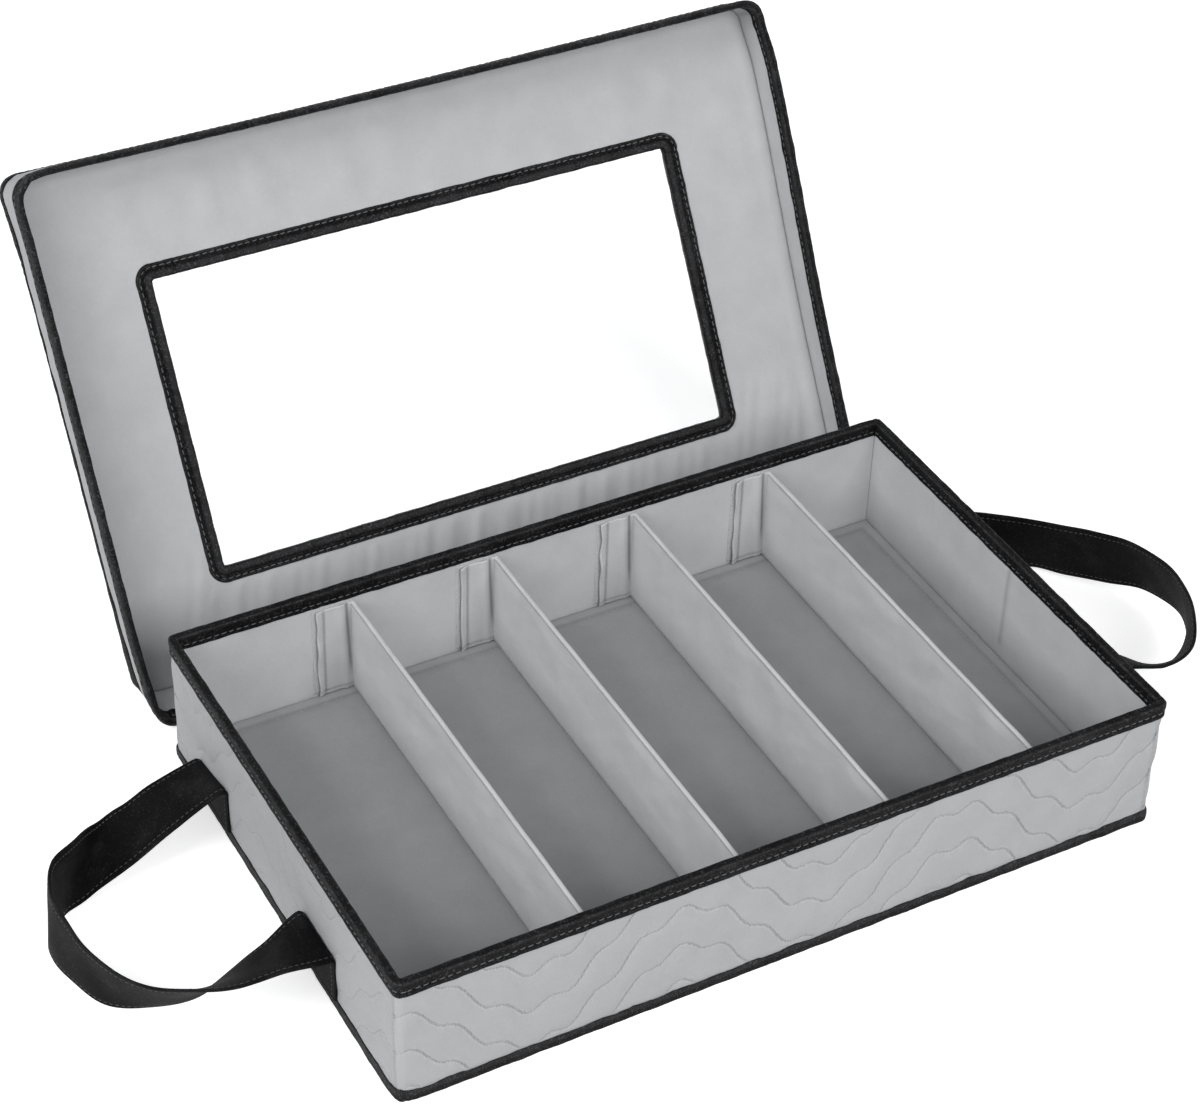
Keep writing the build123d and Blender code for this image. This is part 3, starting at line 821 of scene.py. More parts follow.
def tapeRing(name, shape, loop, body, node, seed, corners, place=None, wave=0.22, fold=0.35,
             startShift=0.0, endShift=0.0, peak=None):
    # A folded tape carried round a loop: its free edges wander a little, and at each corner the fold is
    # fuller with a short groove beside it. The shifts move its first and last edge up or down along the
    # way, and peak lifts the top in a corner.
    user = tapeUser
    outer, index = smoothProfile(shape["outer"], 0.55)
    inner = np.asarray(shape["inner"], float)
    profile = np.concatenate([outer, inner])
    way, total = loop["place"][:, None], loop["total"]

    def seen(values):
        # values on the seen side, and 0 on the side that lies on the cloth
        return np.concatenate([values, np.zeros((len(inner),) + values.shape[1:])])

    def drawn(sizes, first):
        # lines of random waves, one for each length and height in sizes
        return sum(wobble(way, size, first + k, total) * share for k, (size, share) in enumerate(sizes))

    along = np.gradient(outer, axis=0)
    normal = unit(np.stack([along[:, 1], -along[:, 0]], 1))
    if ((outer - outer.mean(0)) * normal).sum() < 0:
        normal = -normal
    groove = humps(way, corners + user["grooveAt"], user["grooveWidth"]) * user["grooveShare"]
    crease = fold * (humps(way, corners, user["foldWidth"]) - groove)
    lift = (drawn(user["bulge"], seed) + crease)[..., None] * seen(normal)
    offset, height = profile[:, 0] + lift[..., 0], profile[:, 1] + lift[..., 1]
    wander = drawn(user["wander"], seed + 2) * wave
    start, end = (seen(hump(index - index[k], user["edgeWidth"])) for k in (0, -1))
    height = height + start * (wander * shape.get("startWander", 1.0) + startShift)
    height = height + end * (np.roll(wander, user["endLag"], 0) + endShift)
    if peak:
        far = way - peak["at"]
        raised = hump(far, peak["width"]) * peak["high"] - hump(far, peak["notch"]) * peak["deep"]
        height = height + softStep(profile[:, 1], peak["from"], peak["to"]) * raised
    height = np.maximum(height, 0.0)
    block = gridBlock(ringPoints(loop, offset, height), True, True, loop["place"], walkedAlong(profile))
    # the ridges are lightened: wear, and a painted highlight where they catch the light, uneven along the way
    unevenWearAndSheen = 0.75 + 0.25 * wobble(way, 9.0, seed + 5, total)
    wearAndSheen = seen(humps(index, shape["wearAndSheenAt"], user["wearAndSheenWidth"])) * unevenWearAndSheen
    piece = placePiece(name, block, edgeTape, body, {"wearAndSheen": np.clip(wearAndSheen, 0, 1)}, place)
    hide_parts(node)


caseTapeUser = {"peak": {"at": caseCorners[1], "width": 2.0, "high": 0.4, "notch": 0.6, "deep": 0.5,
                         "from": 77.0, "to": 80.0},
                "fuller": ((1.1, caseCorners[0] - 8.0, 16.0), (0.5, caseCorners[3], 9.0))}


def makeCaseTapes(user):
    # The rim's tape peaks at the back right corner; the bottom's stands higher near two front corners.
    loop = roundedLoop(halfX, halfY, corner, 2.4, 10)
    way = loop["place"][:, None]
    tapeRing("rimBinding", rimTape, loop, "case", "rim_tape", 31, caseCorners, wave=0.13, peak=user["peak"])
    blocks = [ringStitches(loop, *rimTape["stitch"], (1, 0)),
              ringStitches(loop, *rimTape["stitchInside"], (-1, 0))]
    placePiece("rimStitches", blocks, blackThread, "case")
    fuller = sum(high * hump(way - spot, wide) for high, spot, wide in user["fuller"])
    tapeRing("bottomBinding", bottomTape, loop, "case", "bottom_tape", 47, caseCorners, softenCase,
             wave=0.42, fold=0.5, endShift=fuller)


makeCaseTapes(caseTapeUser)
print("case tapes made")


liningUser = {"wave": 0.16, "waveSize": 46.0, "pucker": 0.16, "puckerSize": 7.0, "puckerHigh": (58.0, 71.0),
              "reliefBand": (11.0, 16.0, 69.0, 72.0), "share": 0.6, "rest": 0.12, "relief": (-0.05, 0.5),
              "creaseFront": 3.0, "creaseDepth": 0.5, "creaseWidth": 0.9, "creaseLow": 17.5,
              "creaseHigh": 71.6, "bendWidth": 14.0, "bend": 0.35, "tone": 1.7}


def makeLining(user):
    # The lining stands on the inner face of the boards: soft waves, puckers under the rim tape, and a
    # crease down the middle of each end wall.
    loop = roundedLoop(halfX, halfY, corner, 2.2, 6)
    way, total = loop["place"][:, None], loop["total"]
    lower, upper = np.linspace(case["boardTop"], 70.0, 30), np.linspace(71.5, case["wallTop"], 5)
    height = np.append(lower, upper)[None, :]
    waves = ripples(way, height, user["waveSize"], 71, 14, total) * user["wave"]
    pucker = wobble(way, user["puckerSize"], 73, total) * user["pucker"]
    pucker = pucker * softStep(height, *user["puckerHigh"])
    inside = band(height, *user["reliefBand"])
    toMiddle = corner * quarter + (halfY - corner) - user["creaseFront"]
    ends = [2 * (halfX - corner) + toMiddle, total - toMiddle]
    reach = band(height, user["creaseLow"], user["creaseLow"] + 4, user["creaseHigh"] - 2, user["creaseHigh"])
    crease = humps(way, ends, user["creaseWidth"]) * reach
    bend = humps(way, ends, user["bendWidth"]) * reach * user["bend"]
    relief = np.clip((waves + pucker) * inside * user["share"] + user["rest"] * inside, *user["relief"])
    seen = -(case["innerFace"] + relief + bend - crease * user["creaseDepth"])
    block = clothRing(loop, seen, -case["liningFace"], height)
    # painted shade darkens the crease and the inner corners of the case
    press = np.maximum(crease, humps(way, caseCorners, 1.0)) * user["tone"]
    press = np.concatenate([press, 0 * press], 1)
    piece = placePiece("wallLining", block, trayCloth, "case", {"press": press})
    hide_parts("front_lining", "back_lining", "left_lining", "right_lining")
    total * 0.001


makeLining(liningUser)
print("lining made")


def roundedGrid(halfWide, halfDeep, radius, step, edgeSteps):
    # A grid over a rounded rectangle: each corner square is drawn into a quarter disc. Gives the plain
    # grid, the drawn one and how far each point is from the border.
    def axis(half):
        # even steps between the corners, finer ones across each corner
        count = max(2, int(round(2 * (half - radius) / step)))
        edge, inner = np.linspace(0, radius, edgeSteps + 1), half - radius
        return np.concatenate([-half + edge[:-1], np.linspace(-inner, inner, count + 1), inner + edge[1:]])
    x, y = np.meshgrid(axis(halfWide), axis(halfDeep), indexing="ij")
    innerX, innerY = halfWide - radius, halfDeep - radius
    a = np.clip((np.abs(x) - innerX) / radius, 0, 1)
    b = np.clip((np.abs(y) - innerY) / radius, 0, 1)
    both = (a > 0) & (b > 0)
    x2 = np.where(both, np.sign(x) * (innerX + radius * a * np.sqrt(1 - b ** 2 / 2)), x)
    y2 = np.where(both, np.sign(y) * (innerY + radius * b * np.sqrt(1 - a ** 2 / 2)), y)
    return x, y, x2, y2, np.minimum(halfWide - np.abs(x2), halfDeep - np.abs(y2))


bottomUser = {"inset": 0.6, "radius": 4.4, "border": 6.5, "borderHigh": 0.62, "sag": 0.05}
dividerPlaces = (-113.0, -29.0, 56.0, 141.0)
matUser = {"halfX": 210.9, "halfY": 132.4, "radius": 3.0, "low": 4.2, "top": 12.2, "edgeRound": 1.7,
           "stitchIn": 7.6, "groove": 0.75, "grooveWidth": 1.1, "wrinkle": 0.16, "wrinkleSize": 30.0,
           "gatherSize": 9.0, "gatherWidth": 5.0, "rest": 0.12, "most": 0.6, "pressDepth": 0.25,
           "pressWidth": 2.6, "seamTone": 1.5, "seamWidth": 0.9, "fieldShadowTone": 0.22}


def makeBottom(user):
    # Flat cloth under the case, let in over the folded bottom tape.
    x, y, x2, y2, inward = roundedGrid(halfX - user["inset"], halfY - user["inset"], user["radius"], 9.0, 4)
    under = 0.02 + user["sag"] * (ripples(x, y, 60.0, 3) * 0.5 + 0.5)
    under = np.where(inward > user["border"], under, user["borderHigh"])
    top = np.stack([x2, y2, np.full_like(x, case["wallFoot"])], -1)
    block = slabBlock(top, np.stack([x2, y2, under], -1), x[:, 0], y[0])
    piece = placePiece("bottomFabric", block, outerCloth, "case", None, softenCase)
    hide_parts("bottom_cover")


def makeMat(user):
    # A thin padded mat: rounded edge, a stitched groove near it, and lines where the dividers bear on it.
    x, y, x2, y2, inward = roundedGrid(user["halfX"], user["halfY"], user["radius"], 1.9, 5)
    outside = 1 - np.clip(inward / user["edgeRound"], 0, 1)
    rounded = user["edgeRound"] * (1 - np.sqrt(np.clip(1 - outside ** 2, 0, 1)))
    past = inward - user["stitchIn"]
    wrinkle = ripples(x, y, user["wrinkleSize"], 91) * softStep(past, 0, 14)
    wrinkle = wrinkle + ripples(x, y, user["gatherSize"], 92) * hump(past, user["gatherWidth"])
    pressed = user["pressDepth"] * humps(x, dividerPlaces, user["pressWidth"])
    top = user["top"] - rounded - user["groove"] * hump(past, user["grooveWidth"]) - pressed
    top = top - np.clip(user["rest"] + user["wrinkle"] * wrinkle, 0, user["most"])
    low = np.full_like(x, user["low"])
    block = slabBlock(np.stack([x2, y2, top], -1), np.stack([x2, y2, low], -1), x[:, 0], y[0])
    # painted shade darkens the stitched groove, and a painted shadow darkens the whole field inside it
    seam, shadowedField = hump(past, user["seamWidth"]), softStep(past, 0, 1.5)
    dull = np.maximum(user["seamTone"] * seam, user["fieldShadowTone"] * shadowedField)
    press = np.concatenate([dull.ravel(), np.zeros(x.size)])
    piece = placePiece("floorMat", block, padCloth, "case", {"press": press})
    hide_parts("floor_pad")
    loop = roundedLoop(user["halfX"] - user["stitchIn"], user["halfY"] - user["stitchIn"], 3.0, 1.0, 5)
    stitches = ringStitches(loop, 0.0, user["top"] - user["groove"] - 0.05, (0, 1), pitch=3.4, rise=0.35,
                            width=0.5)
    placePiece("matStitches", stitches, greyThread, "case")


makeBottom(bottomUser)
makeMat(matUser)
print("bottom and mat made")


dividerUser = {"half": 131.7, "low": 12.5, "high": 70.0, "side": 1.2, "billow": 1.1, "billowSize": 60.0,
               "smallSize": 22.0, "free": (12.0, 9.0, 2.4), "heldEnd": 16.0, "flutter": 0.072,
               "pressLine": 1.7, "pressDepth": 0.28, "tabWidth": 20.0, "tabThick": 0.8, "tabStitch": 4.0,
               "tabFoot": 2.4, "tabGroove": 0.22, "tabCurl": (1.1, 0.6), "tabBend": 0.8, "bendAt": 6.0,
               "rootAt": 2.9, "tabThread": (3.0, 2.2, 0.5, 0.35),
               "topThread": (3.1, 2.3, 0.45, 0.3),
               "turnOver": [(1.0, 0.55), (0.82, 0.22), (0.45, 0.04), (0.0, 0.0), (-0.45, 0.04), (-0.82, 0.22),
                            (-1.0, 0.55)]}
gripUser = {"thick": 0.7, "most": 0.85, "extra": 2.4, "low": 13.2, "high": 70.5, "lining": 132.7,
            "border": 0.8, "pile": 0.05, "pileSize": 4.0}


def dividerSleeve(user, place, seed):
    # A sleeve over a board: its section runs up one face, over the top and down the other. The cloth
    # billows a little off the board between its edges, and a pressed line follows the top.
    half, low, high = user["half"], user["low"], user["high"]
    along = np.linspace(-half, half, 133)[:, None]
    rise = np.concatenate([np.linspace(low, high - 4.2, 20), np.linspace(high - 3.6, high - 0.9, 7)])
    turnOver = np.array(user["turnOver"])
    side = np.concatenate([-np.ones(len(rise)), -turnOver[:, 0], np.ones(len(rise))])[None, :]
    height = np.concatenate([rise, high - turnOver[:, 1], rise[::-1]])[None, :]
    foot, ebb, crest = user["free"]      # how far above the foot and below the top the billow fades
    free = band(height, low, low + foot, high - ebb, high - crest)
    free = free * (1 - softStep(np.abs(along), half - user["heldEnd"], half))
    loose = 0.45 + 0.45 * ripples(along + 40 * side, height, user["billowSize"], seed)
    loose = loose + 0.2 * ripples(along + height, height, user["smallSize"], seed + 1)
    # the pressed line along the top is sunk, and darkened with painted shade
    line = hump(height - (high - user["pressLine"]), 0.5)
    billow = user["billow"] * free * np.clip(loose, 0, 1.2)
    across = side * (user["side"] + billow - line * user["pressDepth"])
    flutter = wobble(along, 60.0, seed + 2) * user["flutter"] * softStep(height, 30, 70)
    top = np.where(height > high - 1.2, wobble(along, 30.0, seed + 3) * 0.08, 0.0)
    points = np.stack(np.broadcast_arrays(place + across + flutter, along, height + top), -1)
    step = np.abs(np.diff(height[0])) + np.abs(np.diff(side[0])) * user["side"]
    block = gridBlock(points, False, True, along[:, 0], np.concatenate([[0], np.cumsum(step)]), True)
    return block, np.broadcast_to(line, points.shape[:2]).ravel()


def dividerTab(user, place, way, seed):
    # A flat strip turned to the left at the end of the sleeve: its free edge curls off the lining and
    # waves a little, and its root and its stitch lines are pressed in.
    low, high, face = user["low"], user["high"], user["half"] - user["tabThick"]
    edge = place - user["side"] - user["tabWidth"]
    x = np.linspace(edge, place + 0.6, 26)[:, None]
    z = np.linspace(low, high, 60)[None, :]
    free = 1 - softStep(x, edge, edge + 5.0)
    most, more = user["tabCurl"]
    curl = free ** 2 * (most + more * wobble(z, 30.0, seed + 8 + way))
    curl = curl + user["tabBend"] * hump(x - (place - user["bendAt"] - 0.05 * (z - 40)), 2.2)
    # the root and the stitch lines are sunk, and darkened with painted shade, darkest at the root where the
    # fold casts its shadow
    root = hump(x - (place - user["rootAt"] - 0.04 * (z - 40)), 0.9) * softStep(z, 18, 34)
    press = hump(x - edge - user["tabStitch"], 0.7) + hump(z - low - user["tabFoot"], 0.7) + 1.8 * root
    xs = x + free * wobble(z, 22.0, seed + 5 + way) * 0.35
    zs = z - 0.77 * free * softStep(z, high - 4, high) ** 2
    seen = np.stack([xs, way * (face - curl + press * user["tabGroove"]), zs], -1)
    rear = np.stack([xs, way * (user["half"] - 0.02 - curl * 0.6), zs], -1)
    y, foot, beside, out = way * face, low + user["tabFoot"], edge + user["tabStitch"], (0.0, -way, 0.0)
    ends = (((beside, y, foot), (beside, y, high - 1.5)),
            ((edge + 1.2, y, foot), (place - user["side"] - 0.6, y, foot)))
    lines = [straightStitches(start, end, out, *user["tabThread"]) for start, end in ends]
    return slabBlock(seen, rear, x[:, 0], z[0]), np.append(press.ravel(), np.zeros(press.size)), lines


def makeDivider(number, user):
    # Sleeve, two tabs, and stitches along the tabs and both sides of the top.
    place, seed, body = dividerPlaces[number - 1], 200 + 10 * number, f"divider_{number}"
    sleeve, press = dividerSleeve(user, place, seed)
    blocks, marks, stitches = [sleeve], [press], []
    for way in (1, -1):
        tab, press, lines = dividerTab(user, place, way, seed)
        blocks.append(tab)
        marks.append(press)
        stitches += lines
    marks = {"press": np.concatenate(marks)}
    piece = placePiece(f"dividerSleeve{number}", blocks, trayCloth, body, marks)
    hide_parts(f"divider_{number}_cover")
    reach, high = user["half"] - 1.5, user["high"] - user["pressLine"]
    for side in (-1, 1):
        x = place + side * (user["side"] - 0.22)
        out = (side, 0.0, 0.0)
        stitches.append(straightStitches((x, -reach, high), (x, reach, high), out, *user["topThread"]))
    placePiece(f"dividerStitches{number}", stitches, greyThread, body)


def makeGrips(user):
    # Flat strips on the lining where the tabs press, with a pile of small loops and a firm border.
    for way, name, node in ((1, "gripPadsBack", "grip_strips_back"),
                            (-1, "gripPadsFront", "grip_strips_front")):
        blocks = []
        for place in dividerPlaces:
            side, wide = dividerUser["side"], dividerUser["tabWidth"] + user["extra"]
            x = np.linspace(place - side - wide, place + side, 27)[:, None]
            z = np.linspace(user["low"], user["high"], 58)[None, :]
            edge = np.minimum(np.minimum(x - x[0], x[-1] - x), np.minimum(z - user["low"], user["high"] - z))
            high = user["thick"] * (0.45 + 0.55 * softStep(edge, 0.0, user["border"]))
            high = high + user["pile"] * ripples(x, z, user["pileSize"], 301)
            xs, zs = np.broadcast_arrays(x, z)
            seen = np.stack([xs, way * (user["lining"] - np.minimum(high, user["most"])), zs], -1)
            rear = np.stack([xs, np.full_like(xs, way * (user["lining"] + 0.05)), zs], -1)
            blocks.append(slabBlock(seen, rear, x[:, 0], z[0]))
        piece = placePiece(name, blocks, gripLoops, "case")
        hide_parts(node)


for number in (1, 2, 3, 4):
    makeDivider(number, dividerUser)
makeGrips(gripUser)
print("dividers and grips made")


# each station of a free loop: reach from the wall, place, height, and the direction of the width
handleUser = {"width": 37.4, "thick": 1.8, "wall": 214.4, "rear": 80.0, "front": -50.0, "fold": 35.0,
              "low": 6.8, "stitchIn": 2.9, "thread": (3.0, 2.1, 0.55, 0.3), "channel": 0.18,
              "channelWidth": 0.75, "wave": 0.30, "waveSize": 34.0, "looseFrom": (34.0, 60.0),
              "sag": {"left": (3.6, -10.0), "right": (0.0, 0.0)},
              "left": [(26.8, 78.2, 24.2, 0.07, 0.99, -0.09), (47.4, 75.6, 16.1, -0.06, 1.00, 0.04),
                       (68.0, 70.8, 11.4, -0.36, 0.84, 0.41), (85.5, 58.8, 16.4, -0.33, 0.43, 0.84),
                       (100.0, 43.6, 22.7, -0.09, 0.22, 0.97), (108.7, 24.4, 25.1, -0.11, 0.00, 0.99),
                       (107.0, 2.1, 23.1, -0.05, -0.10, 0.99), (99.0, -19.0, 19.4, 0.07, -0.16, 0.99),
                       (84.1, -34.2, 18.3, 0.26, -0.36, 0.90), (64.7, -44.5, 19.9, 0.34, -0.54, 0.77),
                       (44.8, -49.0, 24.4, 0.25, -0.80, 0.55), (24.4, -50.1, 30.1, 0.11, -0.92, 0.37)],
              "right": [(23.0, 79.4, 21.9, 0.30, 0.66, 0.69), (42.4, 73.2, 19.0, 0.09, 0.23, 0.97),
                        (60.3, 62.5, 21.2, -0.16, -0.03, 0.99), (73.4, 46.0, 23.0, -0.17, 0.04, 0.99),
                        (84.3, 28.3, 27.0, -0.24, 0.12, 0.96), (92.6, 9.5, 32.4, -0.32, 0.12, 0.94),
                        (95.6, -11.1, 36.0, -0.33, 0.10, 0.94), (94.1, -32.3, 37.3, -0.28, 0.02, 0.96),
                        (85.7, -51.0, 34.5, -0.20, -0.18, 0.96), (71.4, -63.4, 29.2, -0.09, -0.54, 0.84),
                        (53.9, -62.9, 28.3, -0.24, -0.75, 0.62), (33.0, -52.8, 32.0, -0.33, -0.85, 0.42)]}


def handlePath(word, side, user):
    # Up one sewn end to its fold, round the free loop and down the other sewn end, as an even walk along
    # a Catmull-Rom curve: points, widths, outward directions and the way walked.
    flat = user["thick"] / 2
    ends = []
    seats = ((user["rear"], 1.0, user["sag"][word]), (user["front"], -1.0, (0.0, 0.0)))
    for place, turned, (sag, tilt) in seats:
        top = user["fold"] - flat - sag
        full = math.radians(tilt)
        rows = []
        stations = ((0.0, user["low"], 0.0), (0.0, 14.0, 0.0), (0.0, 21.0, 0.4), (0.0, top - 4.6, 0.8),
                    (0.0, top - 2.3, 1.0), (0.35, top - 0.75, 1.0), (1.3, top - 0.1, 1.0),
                    (4.6, top + 0.1, 1.0))
        for reach, z, share in stations:      # reach from the wall, height, and how much of the tilt
            wide = (0.0, turned * math.cos(full * share), turned * math.sin(full * share))
            rows.append((user["wall"] + flat + reach, place, z, *wide))
        ends.append(rows)
    loop = [(user["wall"] + reach, *rest) for reach, *rest in user[word]]
    curve, _ = smoothProfile(ends[0] + loop + ends[1][::-1], 0.5)
    walked = walkedAlong(curve[:, :3])
    way = np.linspace(0, walked[-1], int(walked[-1] / 1.5) + 1)
    path = np.stack([np.interp(way, walked, curve[:, k]) for k in range(6)], 1)
    mirror = np.array([side, 1, 1])
    centre, wide = path[:, :3] * mirror, unit(path[:, 3:] * mirror)
    return centre, wide, unit(np.cross(np.gradient(centre, axis=0), wide)), way


def makeHandle(word, side, user):
    # Webbing: a flat band with a firm rolled edge and a shallow stitched channel along both sides.
    centre, wide, face, way = handlePath(word, side, user)
    half, flat = user["width"] / 2, user["thick"] / 2
    across = np.concatenate([[-1.0], np.linspace(-0.985, 0.985, 41), [1.0]])
    fromEdge = (1 - np.abs(across)) * half
    thick = flat * (0.35 + 0.65 * softStep(fromEdge, -0.2, 0.8))
    thick = thick - user["channel"] * hump(fromEdge - user["stitchIn"], user["channelWidth"])
    section = np.stack([np.append(across, across[::-1]) * half, np.append(thick, -thick[::-1])], 1)
    loose = softStep(np.minimum(way, way[-1] - way), *user["looseFrom"])[:, None]
    waves = ripples(way[:, None], section[None, :, 0], user["waveSize"], 405 + side) * user["wave"] * loose
    lifted = face[:, None] * (section[:, 1] + waves)[..., None]
    points = centre[:, None] + wide[:, None] * section[:, :1] + lifted
    # both edges are lightened: wear, and a painted highlight on the rolled edge
    fuzz = 0.6 + 0.25 * wobble(way, 12.0, 403)[:, None]
    wearAndSheen = np.append(hump(fromEdge, 0.8), hump(fromEdge[::-1], 0.8)) * fuzz
    block = gridBlock(points, False, True, way, walkedAlong(section), True)
    piece = placePiece(f"{word}Handle", block, strapWebbing, None, {"wearAndSheen": np.clip(wearAndSheen, 0, 1)})
    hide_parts(f"{word}_strap", f"{word}_strap_tails")
    # two rows of stitches, seen on both faces
    blocks, count = [], len(across)
    for spot in (user["stitchIn"] - half, half - user["stitchIn"]):
        col = int(round(np.interp(spot, section[:count, 0], np.arange(count))))
        for at, sign in ((col, 1), (2 * count - 1 - col, -1)):
            blocks.append(stitchBlock(points[:, at], face * sign, *user["thread"]))
    stitches = placePiece(f"{word}HandleStitches", blocks, strapThread, None)
    for soft in (piece, stitches):
        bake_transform(soft)


makeHandle("left", -1, handleUser)
makeHandle("right", 1, handleUser)
print("handles made")


lidUser = {"skirtInner": 4.0, "skirtMiddle": 5.2, "skirtOuter": 6.4, "boardOut": 4.6, "low": 56.0,
           "foot": 56.6, "panelLow": 80.4, "liningTop": 80.8, "boardTop": 82.8, "coverTop": 83.8,
           "forward": 0.8, "angle": 121.0, "window": (155.5, 79.5), "windowMiddle": (1.5, 6.5),
           "windowRadius": 1.2}
lidBend = {"left": 6.2, "leftFall": 4.6, "leftPlace": (25, 150), "leftMost": 2.5, "pastHigh": (79.5, 83.5),
           "right": 2.3, "rightMore": 3.4, "moreAlong": (-60, 100), "rightLess": 2.2, "lessAlong": (104, 134),
           "side": (168, 219), "loose": (57, 79), "sag": 1.3,
           "slump": 13.0, "slumpLeft": (60, 215), "slumpLow": (118, 140),
           "tuck": 2.4, "tuckSpot": (-222, 146, 20.0), "cornerIn": 3.124, "inSpot": (-222, -143.5, 14.0),
           "roundIn": 2.485, "roundSpot": (-222, 143.5, 9.0)}
windowLoop = (*lidUser["window"], lidUser["windowRadius"])
windowCorners = cornerPlaces(*windowLoop)
sides = ("front", "back", "left", "right")


def softenLid(points):
    # The sewn lid isn't square: its left side bows in and its right side out, its top sags between the
    # corners, and near the table the free edge of its lower left corner has slumped.
    bend = lidBend
    x, y, z = points.T
    level = softStep(z, *bend["loose"])
    loose = 1 - level
    middle, reach = bend["leftPlace"]
    bowLeft = bend["left"] - bend["leftFall"] * ((y - middle) / reach) ** 2
    past = np.clip(bowLeft - bend["leftMost"], 0, None) * softStep(z, *bend["pastHigh"])
    bowLeft = np.minimum(bowLeft, bend["leftMost"]) + past
    bowRight = bend["right"] + bend["rightMore"] * softStep(-y, *bend["moreAlong"])
    bowRight = bowRight - bend["rightLess"] * softStep(-y, *bend["lessAlong"])
    slump = bend["slump"] * loose * softStep(-x, *bend["slumpLeft"]) * softStep(y, *bend["slumpLow"])
    tucked = bend["tuck"] * loose * near(x, y, bend["tuckSpot"])
    drawnIn = bend["cornerIn"] * loose * near(x, y, bend["inSpot"])
    rounded = bend["roundIn"] * level * near(x, y, bend["roundSpot"])
    toLeft, toRight = (softStep(value, *bend["side"]) for value in (-x, x))
    moved = x + toLeft * bowLeft + toRight * bowRight + drawnIn + rounded + tucked
    sagged = bend["sag"] * softStep(-y, *bend["slumpLow"]) * (1 - (x / halfX) ** 2)
    sunk = y + sagged + drawnIn - rounded + slump
    return np.stack([moved, sunk, z], 1)


def openLid(points):
    # Seats the softened lid on the case, then turns it about the lid's axis to where it stands.
    hinge = next(j for j in frame["joints"] if j["name"] == "lid_turn")["pos_m"]
    y0, z0 = hinge[1] / metre, hinge[2] / metre
    angle = -math.radians(lidUser["angle"])
    soft = softenLid(points)
    y, z = soft[:, 1] - lidUser["forward"] - y0, soft[:, 2] - z0
    return np.stack([soft[:, 0], y0 + y * math.cos(angle) - z * math.sin(angle),
                     z0 + y * math.sin(angle) + z * math.cos(angle)], 1)


def loopLike(loop, first, second, centre):
    # The same share of every side and corner of one rounded rectangle, found on another. Both are given
    # by half width, half depth and radius.
    ways = []
    for halfWide, halfDeep, radius in (first, second):
        ends = [0.0]
        for run in [2 * (halfWide - radius), 2 * (halfDeep - radius)] * 2:
            ends += [ends[-1] + run, ends[-1] + run + radius * quarter]
        ways.append(ends)
    place = np.interp(loop["place"], *ways)
    fine = roundedLoop(*second, 0.5, 16, centre)
    way = np.append(fine["place"], fine["total"])
    closed = np.concatenate([fine["point"], fine["point"][:1]])
    return np.stack([np.interp(place, way, closed[:, k]) for k in range(2)], 1)


def fromWindow(x, y):
    # distance outside the window's opening
    middle, half = lidUser["windowMiddle"], lidUser["window"]
    return np.maximum(np.abs(x - middle[0]) - half[0], np.abs(y - middle[1]) - half[1])


def fromRim(x, y, outset):
    # distance inside the lid's outline, where it is this much larger than the case
    return np.minimum(halfX + outset - np.abs(x), halfY + outset - np.abs(y))


def panelLayer(name, outset, faceHeight, farHeight, relief, material, node, rings, soft=True):
    # A slab round the window: its seen face carries the relief, its other face is flat.
    margin = 0.6
    half = (lidUser["window"][0] + margin, lidUser["window"][1] + margin)
    rim = (halfX + outset, halfY + outset, corner + outset)
    outer = roundedLoop(*rim, 2.2, 8)
    inner = loopLike(outer, rim, (*half, lidUser["windowRadius"] + margin), lidUser["windowMiddle"])
    share = np.linspace(0, 1, rings) ** 0.9
    share = np.concatenate([share[:-1], [0.994, 1.0]])[None, :, None]
    grid = inner[:, None, :] * (1 - share) + outer["point"][:, None, :] * share
    wave, marks = relief(grid[..., 0], grid[..., 1])
    seen = np.concatenate([grid, (faceHeight + wave)[..., None]], -1)
    far = np.concatenate([grid[:, ::-1], np.full(grid.shape[:2] + (1,), farHeight)], -1)
    points = np.concatenate([seen, far], 1)
    quads = gridCells(*points.shape[:2], True, True)[2]
    points = points.reshape(-1, 3)
    block = turnedOut(points, quads, points[:, :2][quads] / clothUnit)
    marks = {key: np.concatenate([value, 0 * value], 1) for key, value in marks.items()}
    piece = placePiece(name, block, material, "lid", marks, openLid)
    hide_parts(node)
    if soft:
        wide, deep = (2 * (halfX + outset)) * 0.001, (2 * (halfY + outset)) * 0.001
        hole = 4 * half[0] * half[1] * 1e-6
        wide * deep - hole


panelUser = {"wave": 0.55, "waveSize": 85.0, "small": 0.16, "smallSize": 22.0, "folds": 0.45,
             "foldSize": 26.0, "foldBand": (84, 104, 125, 136), "gathers": 0.55, "gatherSize": 13.0,
             "gatherOut": (8.5, 13.0), "gatherBack": (60, 80), "calmX": (200, 210), "calmY": (122, 131),
             "calmOut": (8.5, 24.0), "rest": 0.04, "most": 1.6, "pressWidth": 0.9}
# where the walls' quilting is taken up along the lid, and where it fades out
coverUser = {"start": 400.0, "round": 1397.4, "rim": (6.0, 12.0), "window": (8.5, 12.0),
             "relief": (-0.5, 0.6)}


def flatRelief(x, y):
    # no relief at all
    return 0 * x, {}


